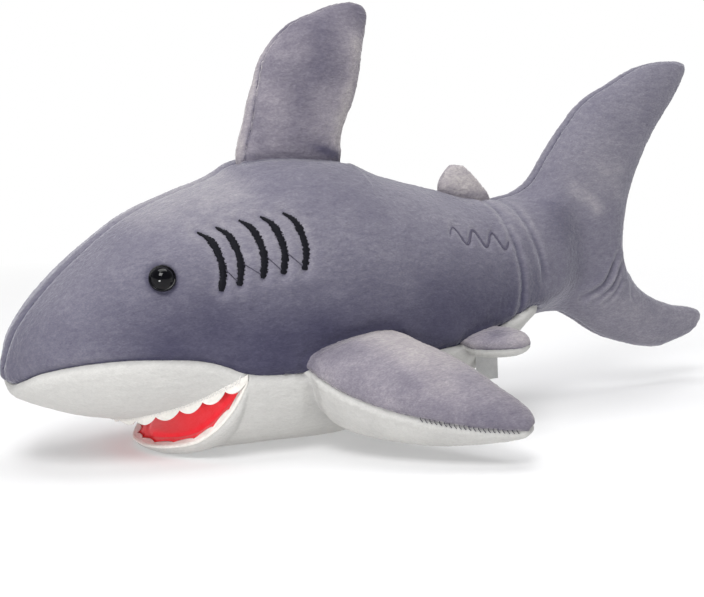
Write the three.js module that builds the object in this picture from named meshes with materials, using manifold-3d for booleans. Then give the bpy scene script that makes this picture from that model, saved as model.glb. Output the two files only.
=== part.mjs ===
// A plush shark, built the way the toy is sewn: thin plush panels over loose stuffing, a felt mouth,
// safety eyes and satin-stitched gills. Millimetres, +Z up, nose towards -X, the shark's left side -Y.
// The origin is on the floor under the middle of the toy.
import * as THREE from 'three';
import { mergeVertices } from 'three/addons/utils/BufferGeometryUtils.js';
import Module from 'manifold-3d';

const wasm = await Module();
wasm.setup();

// ---------- driving dimensions ----------
const PLUSH = 2.5;              // plush cloth with its pile
const FELT = 1.6;               // mouth felt
const GAP = 0.3;                // clearance between sewn pieces
const FILL_GAP = 1.2;           // clearance between cloth and stuffing
const BELLY_PRESS = 3;          // how far the belly flattens against the floor

// The body from nose to tail, one row per station:
// x, back height, underside of the snout, underside of the belly, half width, height of the side seam.
const STATIONS = [
  [-313, 67, 67, 67, 0, 67],
  [-311, 78, 57, 57, 13, 67],
  [-303, 96, 47, 47, 31, 68],
  [-284, 119, 38, 36, 48, 71],
  [-255, 144, 29, 22, 61, 74],
  [-222, 167, 24, 7, 70, 74],
  [-190, 181, 24, -BELLY_PRESS, 75, 70],
  [-160, 191, 26, -BELLY_PRESS, 79, 60],
  [-120, 204, 26, -BELLY_PRESS, 82, 56],
  [-70, 201, 26, -BELLY_PRESS, 82, 57],
  [-20, 187, 26, 7, 77, 60],
  [30, 175, 26, 25, 69, 67],
  [75, 168, 47, 47, 57, 80],
  [110, 171, 70, 70, 45, 96],
  [150, 184, 80, 80, 38, 108],
];
const BACK_ROUNDNESS = 2.35;    // superellipse power above the side seam
const BELLY_ROUNDNESS = 1.85;   // and below it

const THROAT_X = -163;          // where the lower jaw starts, and the mouth's corners
const MOUTH_CORNER_Z = 55;
const UPPER_LIP_FRONT = [-229, 24];
const JAW_FRONT = [-217, 10];
const JAW_HALF_WIDTH = 67;
const TOOTH_COUNT = 12;

const TAIL_HINGE_X = 140;
const TAIL_HINGE_RADIUS = 36;
const SOCKET_GAP = 1.2;
const TAIL_SWING = 25;          // degrees each way
const PECTORAL_ROOT = [-69, -88, 65];
const PECTORAL_DROOP = 28;      // degrees below level
const PECTORAL_PITCH = 8;       // degrees, back edge up
const PELVIC_ROOT = [28, -72, 67];
const PELVIC_DROOP = 14;
const PELVIC_PITCH = 10;
const PELVIC_YAW = 14;          // degrees, back edge in towards the tail
const EYE_AT = [-222, 129];     // x, z on the flank
const EYE_DIAMETER = 18;
const SHANK_DIAMETER = 5;
const WASHER_DIAMETER = 18;
const WASHER_THICKNESS = 2;
const WASHER_LIFT = 1.6;        // clearance between the washer and the cloth's bulging inside

const COLOURS = {
  plush: 0x827e8a,
  finPlush: 0x96908f,
  white: 0xe4e3e1,
  red: 0xe42d3c,
  thread: 0x14141e,
  eye: 0x08080c,
  washer: 0xf2f2ee,
  fill: 0xf4f3ef,
  felt: 0xf3efe9,
  label: 0xb9bcc0,
};

const material = (color, roughness) => new THREE.MeshStandardMaterial({ color, roughness, metalness: 0 });

// ---------- small helpers ----------
const rad = THREE.MathUtils.degToRad;
const vec = (x, y, z) => new THREE.Vector3(x, y, z);
const range = (count) => [...Array(count).keys()];
const spread = (count) => range(count + 1).map((k) => k / count);
const eased = (count) => spread(count).map((k) => (1 - Math.cos(Math.PI * k)) / 2);

// One closed body from loose triangles: shared corners joined, empty faces dropped, faces turned outward.
function closed(points, faces) {
  const loose = new THREE.BufferGeometry();
  loose.setAttribute('position', new THREE.Float32BufferAttribute(points.flatMap((p) => [p.x, p.y, p.z]), 3));
  loose.setIndex(faces.flat());
  const joined = mergeVertices(loose, 1e-3);
  const old = joined.index.array;
  const kept = [];
  let volume = 0;
  const at = (k) => new THREE.Vector3().fromBufferAttribute(joined.attributes.position, k);
  for (let k = 0; k < old.length; k += 3) {
    const [a, b, c] = [old[k], old[k + 1], old[k + 2]];
    if (a === b || b === c || c === a) continue;
    kept.push([a, b, c]);
    volume += at(a).dot(at(b).cross(at(c)));
  }
  joined.setIndex(kept.flatMap(([a, b, c]) => (volume > 0 ? [a, b, c] : [a, c, b])));
  return joined;
}

// A thick sheet between two faces given point by point over a grid of u and v.
function slab(outer, inner, us, vs) {
  const points = [];
  for (const face of [outer, inner]) {
    for (const u of us) {
      for (const v of vs) points.push(face(u, v));
    }
  }
  const rows = us.length;
  const columns = vs.length;
  const id = (side, i, j) => side * rows * columns + i * columns + j;
  const faces = [];
  const quad = (a, b, c, d) => faces.push([a, b, c], [a, c, d]);
  for (const i of range(rows - 1)) {
    for (const j of range(columns - 1)) {
      quad(id(0, i, j), id(0, i + 1, j), id(0, i + 1, j + 1), id(0, i, j + 1));
      quad(id(1, i, j), id(1, i, j + 1), id(1, i + 1, j + 1), id(1, i + 1, j));
    }
    quad(id(0, i + 1, 0), id(0, i, 0), id(1, i, 0), id(1, i + 1, 0));
    quad(id(0, i, columns - 1), id(0, i + 1, columns - 1), id(1, i + 1, columns - 1), id(1, i, columns - 1));
  }
  for (const j of range(columns - 1)) {
    quad(id(0, 0, j), id(0, 0, j + 1), id(1, 0, j + 1), id(1, 0, j));
    quad(id(0, rows - 1, j + 1), id(0, rows - 1, j), id(1, rows - 1, j), id(1, rows - 1, j + 1));
  }
  return closed(points, faces);
}

// A solid skinned over closed rings of equal length, with flat fans over its two ends.
function skinned(rings) {
  const points = rings.flat();
  const count = rings[0].length;
  const faces = [];
  for (const i of range(rings.length - 1)) {
    for (const j of range(count)) {
      const next = (j + 1) % count;
      const a = i * count;
      const b = a + count;
      faces.push([a + j, b + j, b + next], [a + j, b + next, a + next]);
    }
  }
  for (const [ring, last] of [[0, false], [rings.length - 1, true]]) {
    const centre = points.length;
    points.push(rings[ring].reduce((sum, p) => sum.add(p), vec(0, 0, 0)).divideScalar(count));
    for (const j of range(count)) {
      const a = ring * count + j;
      const b = ring * count + (j + 1) % count;
      faces.push(last ? [a, centre, b] : [a, b, centre]);
    }
  }
  return closed(points, faces);
}

function toManifold(geometry) {
  const bare = geometry.clone();
  bare.deleteAttribute('normal');
  bare.deleteAttribute('uv');
  const joined = mergeVertices(bare, 1e-3);
  return new wasm.Manifold(new wasm.Mesh({
    numProp: 3,
    vertProperties: new Float32Array(joined.attributes.position.array),
    triVerts: new Uint32Array(joined.index.array),
  }));
}

function fromManifold(solid) {
  const mesh = solid.getMesh();
  const geometry = new THREE.BufferGeometry();
  geometry.setAttribute('position', new THREE.BufferAttribute(mesh.vertProperties, 3));
  geometry.setIndex(new THREE.BufferAttribute(mesh.triVerts, 1));
  return geometry;
}

function cut(geometry, ...tools) {
  let solid = toManifold(geometry);
  for (const tool of tools) solid = solid.subtract(toManifold(tool));
  return fromManifold(solid);
}

// The same piece on the shark's right side.
function mirrored(geometry) {
  const copy = geometry.clone();
  copy.scale(1, -1, 1);
  const order = copy.index.array;
  for (let k = 0; k < order.length; k += 3) [order[k], order[k + 1]] = [order[k + 1], order[k]];
  return copy;
}

const shark = new THREE.Group();

function add(name, geometry, colour, roughness = 0.9) {
  const mesh = new THREE.Mesh(geometry, material(colour, roughness));
  mesh.name = name;
  shark.add(mesh);
}

function addPair(name, geometry, colour, roughness) {
  add(`${name}_left`, geometry, colour, roughness);
  add(`${name}_right`, mirrored(geometry), colour, roughness);
}

// ---------- the body's surface ----------
const COLUMNS = STATIONS[0].length;
const stationCurve = new THREE.CubicInterpolant(
  range(STATIONS.length), STATIONS.flat(), COLUMNS, new Float32Array(COLUMNS),
);

function station(t) {
  const [x, back, snout, belly, half, seam] = stationCurve.evaluate(t);
  return { x, back, snout, belly, half: Math.max(half, 0), seam };
}

// The place along the stations that has a given x, by halving.
function stationAt(x) {
  let [low, high] = [0, STATIONS.length - 1];
  for (let halvings = 0; halvings < 30; halvings += 1) {
    const middle = (low + high) / 2;
    if (station(middle).x < x) low = middle;
    else high = middle;
  }
  return low;
}

const bend = (value, roundness) => Math.sign(value) * Math.abs(value) ** (2 / roundness);

// A point of the left half: angle 90 is the back, 0 the side seam, -90 the middle of the underside.
function section(t, angle, under) {
  const s = station(t);
  const roundness = angle > 0 ? BACK_ROUNDNESS : BELLY_ROUNDNESS;
  const height = angle > 0 ? s.back - s.seam : s.seam - s[under];
  const y = -s.half * bend(Math.cos(rad(angle)), roundness);
  return vec(s.x, y, s.seam + height * bend(Math.sin(rad(angle)), roundness));
}

// The same point moved inward by a depth, then kept above the flattened belly.
function skin(t, angle, under, depth) {
  const step = 1e-3;
  const last = STATIONS.length - 1;
  const [before, after] = [Math.max(t - step, 0), Math.min(t + step, last)];
  const along = section(after, angle, under).sub(section(before, angle, under));
  const around = section(t, angle + step, under).sub(section(t, angle - step, under));
  const normal = around.cross(along);
  const inward = normal.length() < 1e-12 || t === 0 ? vec(1, 0, 0) : normal.normalize();
  const point = section(t, angle, under).addScaledVector(inward, depth);
  point.z = Math.max(point.z, depth);
  return point;
}

// The flank at a given x and z, lifted off the surface.
function flank(x, z, lift) {
  const t = stationAt(x);
  const s = station(t);
  const up = Math.min(Math.max((z - s.seam) / (s.back - s.seam), 0), 1);
  const angle = THREE.MathUtils.radToDeg(Math.asin(up ** (BACK_ROUNDNESS / 2)));
  return skin(t, angle, 'belly', -lift);
}

const BODY_END_X = 134;          // inside the tail's socket
const bodyEnd = stationAt(BODY_END_X);
const throat = stationAt(THROAT_X);
const headSteps = [0, 0.35, 0.8, 1.4, 2, 2.6, 3.2, 3.8, 4.4, 5, 5.6, 6.2, throat];
const torsoSteps = [throat, 7.5, 8.2, 9, 9.7, 10.4, 11.1, 11.8, 12.5, bodyEnd];
const bodySteps = [...headSteps, ...torsoSteps.slice(1)];
const upperAngles = spread(9).map((k) => 90 * k);
const lowerAngles = spread(6).map((k) => -90 + 90 * k);

// The left grey panel, kept clear of the right one along the back and of the white below the side seam.
function sidePanel() {
  const face = (depth) => (t, angle) => {
    const point = skin(t, angle, 'belly', depth);
    point.y = Math.min(point.y, -GAP / 2);
    if (angle === 0) point.z += GAP / 2;
    return point;
  };
  return slab(face(0), face(PLUSH), bodySteps, upperAngles);
}

// A white panel that runs under the body from one side seam to the other.
function underPanel(steps, under, startShift) {
  const angles = [...lowerAngles.slice().reverse(), ...lowerAngles.slice(1).map((a) => -180 - a)];
  const face = (depth) => (t, angle) => {
    const onLeft = angle >= -90;
    const point = skin(t, onLeft ? angle : -180 - angle, under, depth);
    if (!onLeft) point.y *= -1;
    if (angle === 0 || angle === -180) point.z -= GAP / 2;
    if (t === steps[0]) point.x += startShift;
    return point;
  };
  return slab(face(0), face(PLUSH), steps, angles);
}

function bodyFill() {
  const depth = PLUSH + FILL_GAP;
  const ring = (under, shift) => (t) => {
    const left = [...lowerAngles, ...upperAngles.slice(1)].map((angle) => skin(t, angle, under, depth));
    for (const p of left) {
      p.x += shift;
      p.y = Math.min(p.y, 0);
    }
    const right = left.slice(1, -1).reverse().map((p) => vec(p.x, -p.y, p.z));
    return [...left, ...right];
  };
  const head = headSteps.map(ring('snout', -GAP));
  return skinned([...head, ...torsoSteps.map(ring('belly', GAP))]);
}

// ---------- cutting tools ----------
function block(width, depth, height, x, y, z) {
  const geometry = new THREE.BoxGeometry(width, depth, height);
  geometry.translate(x, y, z);
  return geometry;
}

// The roof of the mouth is a plane from the front of the upper lip to the mouth's corners.
const roofRun = THROAT_X - UPPER_LIP_FRONT[0];
const roofAngle = Math.atan2(MOUTH_CORNER_Z - UPPER_LIP_FRONT[1], roofRun);

// Everything under the roof's plane, raised by a height.
function underRoof(height) {
  const [length, width, depth] = [2 * roofRun, 200, 60];
  const space = block(length, width, depth, -length / 2, 0, height - depth / 2);
  space.rotateY(-roofAngle);
  space.translate(THROAT_X, 0, MOUTH_CORNER_Z);
  return space;
}

// Everything the tail's round front end sweeps through.
function tailSweep() {
  const [reach, bottom, height] = [200, -20, 300];
  const spare = 3;              // degrees beyond the swing
  const radius = TAIL_HINGE_RADIUS + SOCKET_GAP;
  const edge = rad(90 + TAIL_SWING + spare);
  const plan = new THREE.Shape();
  plan.moveTo(reach * Math.cos(edge), reach * Math.sin(edge));
  plan.absarc(0, 0, radius, edge, 2 * Math.PI - edge, false);
  plan.lineTo(reach * Math.cos(edge), -reach * Math.sin(edge));
  plan.lineTo(reach, -reach);
  plan.lineTo(reach, reach);
  const space = new THREE.ExtrudeGeometry(plan, { depth: height, bevelEnabled: false, curveSegments: 16 });
  space.translate(TAIL_HINGE_X, 0, bottom);
  return space;
}

// A tool or a turned piece whose own axis is +Z, set on the flank and turned to point outward.
function onFlank(geometry, x, z, lift) {
  const base = flank(x, z, 0);
  const out = flank(x, z, 10).sub(base).normalize();
  geometry.applyQuaternion(new THREE.Quaternion().setFromUnitVectors(vec(0, 0, 1), out));
  geometry.translate(...base.addScaledVector(out, lift));
  return geometry;
}

// A profile of [radius, height] points turned about +Z.
function turned(profile, segments) {
  const geometry = new THREE.LatheGeometry(profile.map(([r, h]) => new THREE.Vector2(r, h)), segments);
  geometry.rotateX(Math.PI / 2);
  const joined = mergeVertices(geometry.deleteAttribute('normal').deleteAttribute('uv'), 1e-3);
  const { position } = joined.attributes;
  const corners = joined.index.array;
  return closed(
    range(position.count).map((k) => vec(0, 0, 0).fromBufferAttribute(position, k)),
    range(corners.length / 3).map((k) => [...corners.slice(3 * k, 3 * k + 3)]),
  );
}

const cylinder = (radius, bottom, top, segments) => turned(
  [[0, bottom], [radius, bottom], [radius, top], [0, top]], segments,
);

// ---------- body, head and mouth ----------
const washerDepth = PLUSH + WASHER_LIFT + WASHER_THICKNESS;      // of the washer's inner face
const eyeHole = onFlank(cylinder(SHANK_DIAMETER / 2 + GAP, -20, 5, 12), ...EYE_AT, 0);
const washerRoom = onFlank(cylinder(WASHER_DIAMETER / 2 + 1, -washerDepth - 1.1, 1, 16), ...EYE_AT, 0);
const sweep = tailSweep();

addPair('body_panel', cut(sidePanel(), sweep, eyeHole), COLOURS.plush);
add('belly_panel', cut(underPanel(torsoSteps, 'belly', GAP), sweep), COLOURS.white);
add('snout_panel', cut(underPanel(headSteps, 'snout', 0), underRoof(FELT + GAP)), COLOURS.white);
add('body_stuffing', cut(bodyFill(), sweep, underRoof(FELT + GAP + FILL_GAP),
  eyeHole, mirrored(eyeHole), washerRoom, mirrored(washerRoom)), COLOURS.fill);

// The half width of the mouth at a given x, along either lip.
const lipHalf = (x, front) => JAW_HALF_WIDTH * Math.sqrt(Math.max((x - front) / (THROAT_X - front), 0));

function roofLining() {
  const steps = eased(8).map((k) => UPPER_LIP_FRONT[0] + 2 + (roofRun - 3) * k ** 1.6);
  const face = (height) => (x, side) => {
    const rise = (x - THROAT_X) * Math.tan(roofAngle) + height / Math.cos(roofAngle);
    return vec(x, side * (lipHalf(x, UPPER_LIP_FRONT[0]) - 0.5), MOUTH_CORNER_Z + rise);
  };
  return slab(face(FELT), face(0), steps, spread(4).map((k) => 2 * k - 1));
}

add('mouth_lining_upper', roofLining(), COLOURS.red);

// The lower lip's height along the jaw, and the jaw's underside.
const heightCurve = (xs, heights) => new THREE.CubicInterpolant(xs, heights, 1, new Float32Array(1));
const lipCurve = heightCurve([JAW_FRONT[0], -198, -176, THROAT_X], [JAW_FRONT[1], 15, 33, 50]);
const keelCurve = heightCurve([JAW_FRONT[0], -205, -190, THROAT_X], [6, 1.5, 0.6, 0.6]);
const jawRun = THROAT_X - 1 - JAW_FRONT[0];
const jawSteps = [0, 0.04, 0.12, 0.25, 0.4, 0.58, 0.78, 1].map((k) => JAW_FRONT[0] + jawRun * k);
const jawAngles = spread(12).map((k) => 180 * k);

// A point of the jaw's round underside, from the left lip at 0 to the right lip at 180 degrees.
function jawSkin(x, angle, depth) {
  const lip = lipCurve.evaluate(x)[0] - GAP;
  const keel = Math.min(keelCurve.evaluate(x)[0], lip - 3);
  const half = Math.max(lipHalf(x, JAW_FRONT[0]), 3);
  const side = Math.cos(rad(angle));
  const down = Math.sin(rad(angle));
  const inset = Math.min(depth, (lip - keel) * 0.6);
  const y = -(half - depth * Math.min(1, half / 12)) * bend(side, BELLY_ROUNDNESS);
  return vec(x, y, lip - (lip - keel - inset) * bend(down, BELLY_ROUNDNESS));
}

const jawShift = (depth) => (x) => (x === jawSteps[0] ? depth : 0);

function jawPanel() {
  const face = (depth) => (x, angle) => {
    const point = jawSkin(x, angle, depth);
    point.x += jawShift(depth)(x);
    return point;
  };
  return slab(face(0), face(PLUSH), jawSteps, jawAngles);
}

function jawLining() {
  const face = (height) => (x, side) => {
    const half = Math.max(lipHalf(x, JAW_FRONT[0]) - PLUSH - GAP, 2);
    return vec(x, side * half, lipCurve.evaluate(x)[0] + height);
  };
  const steps = jawSteps.slice(1);
  return slab(face(FELT), face(0), steps, spread(4).map((k) => 2 * k - 1));
}

function jawFill() {
  const rings = jawSteps.slice(3, -1).concat([THROAT_X - 1.5]).map((x) => {
    const depth = PLUSH + 2 * FILL_GAP;
    return jawAngles.map((angle) => {
      const point = jawSkin(x, angle, depth);
      point.z = Math.min(point.z, lipCurve.evaluate(x)[0] - FILL_GAP);
      return point;
    });
  });
  return skinned(rings);
}

add('jaw_panel', jawPanel(), COLOURS.white);
add('mouth_lining_lower', jawLining(), COLOURS.red);
add('jaw_stuffing', jawFill(), COLOURS.fill);

// A felt strip along a lip with a scalloped edge; `place` gives the lip and the direction the strip hangs.
function lipStrip(place, drop, scallop) {
  const columns = spread(4 * TOOTH_COUNT);
  const face = (thickness) => (u, v) => {
    const { point, out, hang } = place(2 * u - 1);
    const wave = Math.abs(Math.sin(Math.PI * TOOTH_COUNT * u));
    return point.addScaledVector(out, thickness).addScaledVector(hang, v * (drop + scallop * wave));
  };
  return slab(face(FELT), face(0), columns, [0, 1]);
}

// Along the upper lip the teeth hang down, just inside the snout panel.
function upperTeeth(k) {
  const y = k * (JAW_HALF_WIDTH - 9);
  const x = UPPER_LIP_FRONT[0] + 3.5 + roofRun * (y / JAW_HALF_WIDTH) ** 2;
  const z = MOUTH_CORNER_Z + (x - THROAT_X) * Math.tan(roofAngle) - GAP - FELT / 2;
  const out = vec(-1, y / JAW_HALF_WIDTH * 1.6, 0).normalize();
  return { point: vec(x, y, z), out, hang: vec(0, 0, -1) };
}

// Along the lower lip the strip stands up, just inside the jaw lining's edge.
function lowerTeeth(k) {
  const y = k * (JAW_HALF_WIDTH - 14);
  const run = THROAT_X - JAW_FRONT[0];
  const x = JAW_FRONT[0] + 5 + run * (y / (JAW_HALF_WIDTH - 4)) ** 2;
  const z = lipCurve.evaluate(x)[0] + FELT + GAP + 0.4;
  const out = vec(-1, y / JAW_HALF_WIDTH * 1.6, 0).normalize();
  return { point: vec(x, y, z), out, hang: vec(0, 0, 1) };
}

add('teeth_upper', lipStrip(upperTeeth, 3, 4.5), COLOURS.felt);
add('teeth_lower', lipStrip(lowerTeeth, 1.5, 2.5), COLOURS.felt);

// ---------- eyes and stitching ----------
const eyeRadius = EYE_DIAMETER / 2;
const shankRadius = SHANK_DIAMETER / 2;
const eyeProfile = [[0, -14], [shankRadius, -14], [shankRadius, 0.8], [eyeRadius - 1, 0.8], [eyeRadius, 1.8],
  [eyeRadius * 0.93, 4.2], [eyeRadius * 0.7, 6.6], [eyeRadius * 0.38, 8], [0, 8.5]];
addPair('eye', onFlank(turned(eyeProfile, 20), ...EYE_AT, 0), COLOURS.eye, 0.08);

const washerInner = shankRadius + GAP;
const washerOuter = WASHER_DIAMETER / 2;
const washerProfile = [[washerInner, 0], [washerOuter, 0], [washerOuter, WASHER_THICKNESS],
  [washerInner, WASHER_THICKNESS], [washerInner, 0]];
addPair('eye_washer', onFlank(turned(washerProfile, 20), ...EYE_AT, -washerDepth), COLOURS.washer, 0.5);

// A raised line of satin stitch over the flank, along a curve of x and z, widest in its middle.
function stitchLine(curve, width, columns, lift, height) {
  const us = spread(columns);
  const face = (up) => (u, side) => {
    const p = curve.getPoint(u);
    const along = curve.getTangent(u);
    const half = side * width * (0.25 + 0.75 * Math.sin(Math.PI * u) ** 0.7) / 2;
    return flank(p.x - along.y * half, p.y + along.x * half, up);
  };
  return slab(face(lift + height), face(lift), us, [-1, 1]);
}

const GILL_TOPS = [[-194, 161], [-181, 164], [-164, 168], [-149, 170], [-133, 172]];
const GILL_BULGE = [[11, -20], [13, -31]];   // how far down the arc swings back, x and z from its top
const GILL_FOOT = [9, -43];
for (const [index, [x, z]] of GILL_TOPS.entries()) {
  const bulge = GILL_BULGE.map(([dx, dz]) => new THREE.Vector2(x + dx, z + dz));
  const curve = new THREE.SplineCurve([new THREE.Vector2(x, z), ...bulge,
    new THREE.Vector2(x + GILL_FOOT[0], z + GILL_FOOT[1])]);
  addPair(`gill_stitch_${index + 1}`, stitchLine(curve, 5, 8, 0.4, 1.1), COLOURS.thread, 0.6);
}

// A plain ripple stands where such toys carry embroidery; it is a generic wave and spells nothing.
const RIPPLE = { x: 8, z: 147, length: 62, drop: -9, swing: 5, waves: 3, width: 3 };
const ripplePoints = spread(12).map((k) => new THREE.Vector2(
  RIPPLE.x + RIPPLE.length * k,
  RIPPLE.z + RIPPLE.drop * k + RIPPLE.swing * Math.sin(2 * Math.PI * RIPPLE.waves * k),
));
const ripple = new THREE.SplineCurve(ripplePoints);
add('ripple_stitch', stitchLine(ripple, RIPPLE.width, 30, 0.4, 0.8), COLOURS.finPlush);

// ---------- fins ----------
// A stuffed fin from two edge curves of [across, along] points, sampled together from one end to the other.
// `fullness(u)` is the half thickness far from the edges, `rounding` the width over which it rounds off.
const EDGE_HALF = 2;            // half thickness of the seam allowance round every fin

function fin({ front, back, fullness, rounding, us, vs, place, keep = () => Infinity }) {
  const toCurve = (points) => new THREE.SplineCurve(points.map(([a, b]) => new THREE.Vector2(a, b)));
  const [frontCurve, backCurve] = [toCurve(front), toCurve(back)];
  const there = spread(40).map((u) => frontCurve.getPoint(u));
  const outline = [...there, ...spread(40).map((u) => backCurve.getPoint(1 - u))];
  const span = new THREE.Line3();
  const nearest = new THREE.Vector3();
  const edgeDistance = (p) => Math.min(...outline.map((a, k) => {
    const b = outline[(k + 1) % outline.length];
    span.start.set(a.x, a.y, 0);
    span.end.set(b.x, b.y, 0);
    const here = vec(p.x, p.y, 0);
    return span.closestPointToPoint(here, true, nearest).distanceTo(here);
  }));
  const flat = (u, v) => frontCurve.getPoint(u).lerp(backCurve.getPoint(u), v);
  const half = (u, v) => {
    const p = flat(u, v);
    const inside = 1 - Math.min(edgeDistance(p) / rounding, 1);
    const full = EDGE_HALF + fullness(u) * Math.sqrt(1 - inside * inside);
    return Math.max(Math.min(full, keep(p)), EDGE_HALF);
  };
  const table = new Map();
  const cached = (u, v) => {
    const key = `${u},${v}`;
    if (!table.has(key)) table.set(key, { p: flat(u, v), h: half(u, v) });
    return table.get(key);
  };
  const face = (sign, depth) => (u, v) => {
    const { p, h } = cached(u, v);
    return place(p.x, sign * Math.max(h - depth, GAP / 2), p.y);
  };
  const [innerUs, innerVs] = [us.slice(1, -1), vs.slice(1, -1)];
  return {
    near: slab(face(-1, 0), face(-1, PLUSH), us, vs),
    far: slab(face(1, 0), face(1, PLUSH), us, vs),
    fill: slab(face(-1, PLUSH + FILL_GAP), face(1, PLUSH + FILL_GAP), innerUs, innerVs),
  };
}

const upright = (across, out, along) => vec(across, out, along);

// Dorsal fin. Its foot is rounded about the line it flops on.
const dorsal = fin({
  front: [[-135, 205], [-127, 240], [-120, 267], [-108, 291], [-86, 308], [-62, 317]],
  back: [[-59, 205], [-52, 232], [-44, 254], [-38, 277], [-34, 298], [-34, 318]],
  fullness: (u) => 20 - 9 * u,
  rounding: 22,
  us: eased(9),
  vs: eased(7),
  place: upright,
});
add('dorsal_fin_panel_left', dorsal.near, COLOURS.finPlush);
add('dorsal_fin_panel_right', dorsal.far, COLOURS.finPlush);
add('dorsal_fin_stuffing', dorsal.fill, COLOURS.fill);

const secondDorsal = fin({
  front: [[34, 177], [37, 186], [43, 193], [51, 197]],
  back: [[84, 170], [77, 179], [70, 188], [61, 196]],
  fullness: () => 6,
  rounding: 8,
  us: eased(4),
  vs: eased(5),
  place: upright,
});
add('second_dorsal_panel_left', secondDorsal.near, COLOURS.finPlush);
add('second_dorsal_panel_right', secondDorsal.far, COLOURS.finPlush);
add('second_dorsal_stuffing', secondDorsal.fill, COLOURS.fill);

// Tail. The front end is a barrel about the upright hinge line, so the tail swings inside the body's socket.
const barrelFront = TAIL_HINGE_X - TAIL_HINGE_RADIUS;
const tail = fin({
  front: [
    [312, 51], [262, 32], [206, 46], [158, 71],
    [barrelFront + 8, 75], [barrelFront + 1, 92], [barrelFront, 120],
    [barrelFront + 1, 148], [barrelFront + 8, 170],
    [143, 194], [175, 237], [225, 272], [286, 279],
  ],
  back: [
    [313, 58], [270, 70], [240, 86], [225, 99], [218, 110], [215, 120], [215, 130],
    [216, 141], [219, 155], [226, 176], [245, 210], [272, 246], [290, 270],
  ],
  fullness: (u) => 9 + 27 * Math.sin(Math.PI * THREE.MathUtils.smoothstep(u, 0, 1)) ** 1.6,
  rounding: 40,
  us: eased(20),
  vs: eased(8),
  place: upright,
  keep: (p) => {
    const forward = TAIL_HINGE_X - p.x;
    if (forward < 0) return Infinity;
    return Math.sqrt(Math.max(TAIL_HINGE_RADIUS ** 2 - forward ** 2, 0));
  },
});
add('tail_panel_left', tail.near, COLOURS.plush);
add('tail_panel_right', tail.far, COLOURS.plush);
add('tail_stuffing', tail.fill, COLOURS.fill);

// Paired fins lie in a drooping plane; `across` runs nose to tail, `along` runs outward.
function finPlane([x, y, z], droop, pitch, yaw) {
  const level = Math.cos(rad(pitch));
  const chord = vec(level * Math.cos(rad(yaw)), level * Math.sin(rad(yaw)), Math.sin(rad(pitch)));
  const outward = vec(0, -Math.cos(rad(droop)), -Math.sin(rad(droop)));
  outward.addScaledVector(chord, -outward.dot(chord)).normalize();
  const up = outward.clone().cross(chord);
  return (across, down, along) => vec(x, y, z)
    .addScaledVector(chord, across)
    .addScaledVector(outward, along)
    .addScaledVector(up, down);
}

const pectoral = fin({
  front: [[-54, 0], [-45, 22], [-30, 44], [-8, 66], [18, 87], [44, 97]],
  back: [[27, 0], [37, 16], [46, 34], [52, 54], [56, 73], [58, 92]],
  fullness: (u) => 21 + 13 * Math.sin(Math.PI * u) - 11 * u,
  rounding: 25,
  us: eased(9),
  vs: eased(7),
  place: finPlane(PECTORAL_ROOT, PECTORAL_DROOP, PECTORAL_PITCH, 0),
});
addPair('pectoral_fin_underside', pectoral.near, COLOURS.white);
addPair('pectoral_fin_top', pectoral.far, COLOURS.finPlush);
addPair('pectoral_fin_stuffing', pectoral.fill, COLOURS.fill);

const pelvic = fin({
  front: [[-25, 1], [-17, 9], [-4, 20], [14, 28]],
  back: [[24, 1], [27, 9], [28, 18], [25, 26]],
  fullness: () => 6,
  rounding: 8,
  us: eased(4),
  vs: eased(5),
  place: finPlane(PELVIC_ROOT, PELVIC_DROOP, PELVIC_PITCH, PELVIC_YAW),
});
addPair('pelvic_fin_underside', pelvic.near, COLOURS.white);
addPair('pelvic_fin_top', pelvic.far, COLOURS.finPlush);
addPair('pelvic_fin_stuffing', pelvic.fill, COLOURS.fill);

// A blank care label hangs from the side seam, just behind and below the left pelvic fin.
const LABEL = { width: 20, drop: 18, thickness: 0.8, x: 36, y: -66.4, top: 55 };
const labelMiddle = LABEL.top - LABEL.drop / 2;
add('care_label', block(LABEL.width, LABEL.thickness, LABEL.drop, LABEL.x, LABEL.y, labelMiddle), COLOURS.label);

export default shark;
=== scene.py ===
"""The plush shark's looks: sewn plush skins, felt mouth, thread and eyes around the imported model.

Shapes are worked out in millimetres in the row frame (nose towards -X, the shark's left side -Y, +Z up)
and become metres when a mesh is made.
"""

import math

import bpy
import numpy as np
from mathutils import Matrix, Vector


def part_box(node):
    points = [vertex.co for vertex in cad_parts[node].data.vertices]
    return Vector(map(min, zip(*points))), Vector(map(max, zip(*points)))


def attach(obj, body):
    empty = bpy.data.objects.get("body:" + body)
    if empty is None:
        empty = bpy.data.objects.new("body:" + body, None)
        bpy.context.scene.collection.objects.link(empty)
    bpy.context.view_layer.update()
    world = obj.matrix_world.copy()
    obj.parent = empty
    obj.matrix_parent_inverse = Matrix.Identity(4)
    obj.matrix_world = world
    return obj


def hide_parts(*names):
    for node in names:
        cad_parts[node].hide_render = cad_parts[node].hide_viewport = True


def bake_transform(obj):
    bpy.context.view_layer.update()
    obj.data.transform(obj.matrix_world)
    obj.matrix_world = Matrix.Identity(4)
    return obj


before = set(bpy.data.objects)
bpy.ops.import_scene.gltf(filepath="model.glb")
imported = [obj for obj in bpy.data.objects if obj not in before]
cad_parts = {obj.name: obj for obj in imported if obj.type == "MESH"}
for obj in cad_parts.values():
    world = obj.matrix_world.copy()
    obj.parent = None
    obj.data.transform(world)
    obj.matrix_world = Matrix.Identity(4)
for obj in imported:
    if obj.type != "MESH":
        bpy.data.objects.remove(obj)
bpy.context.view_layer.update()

MM = 0.001

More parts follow.
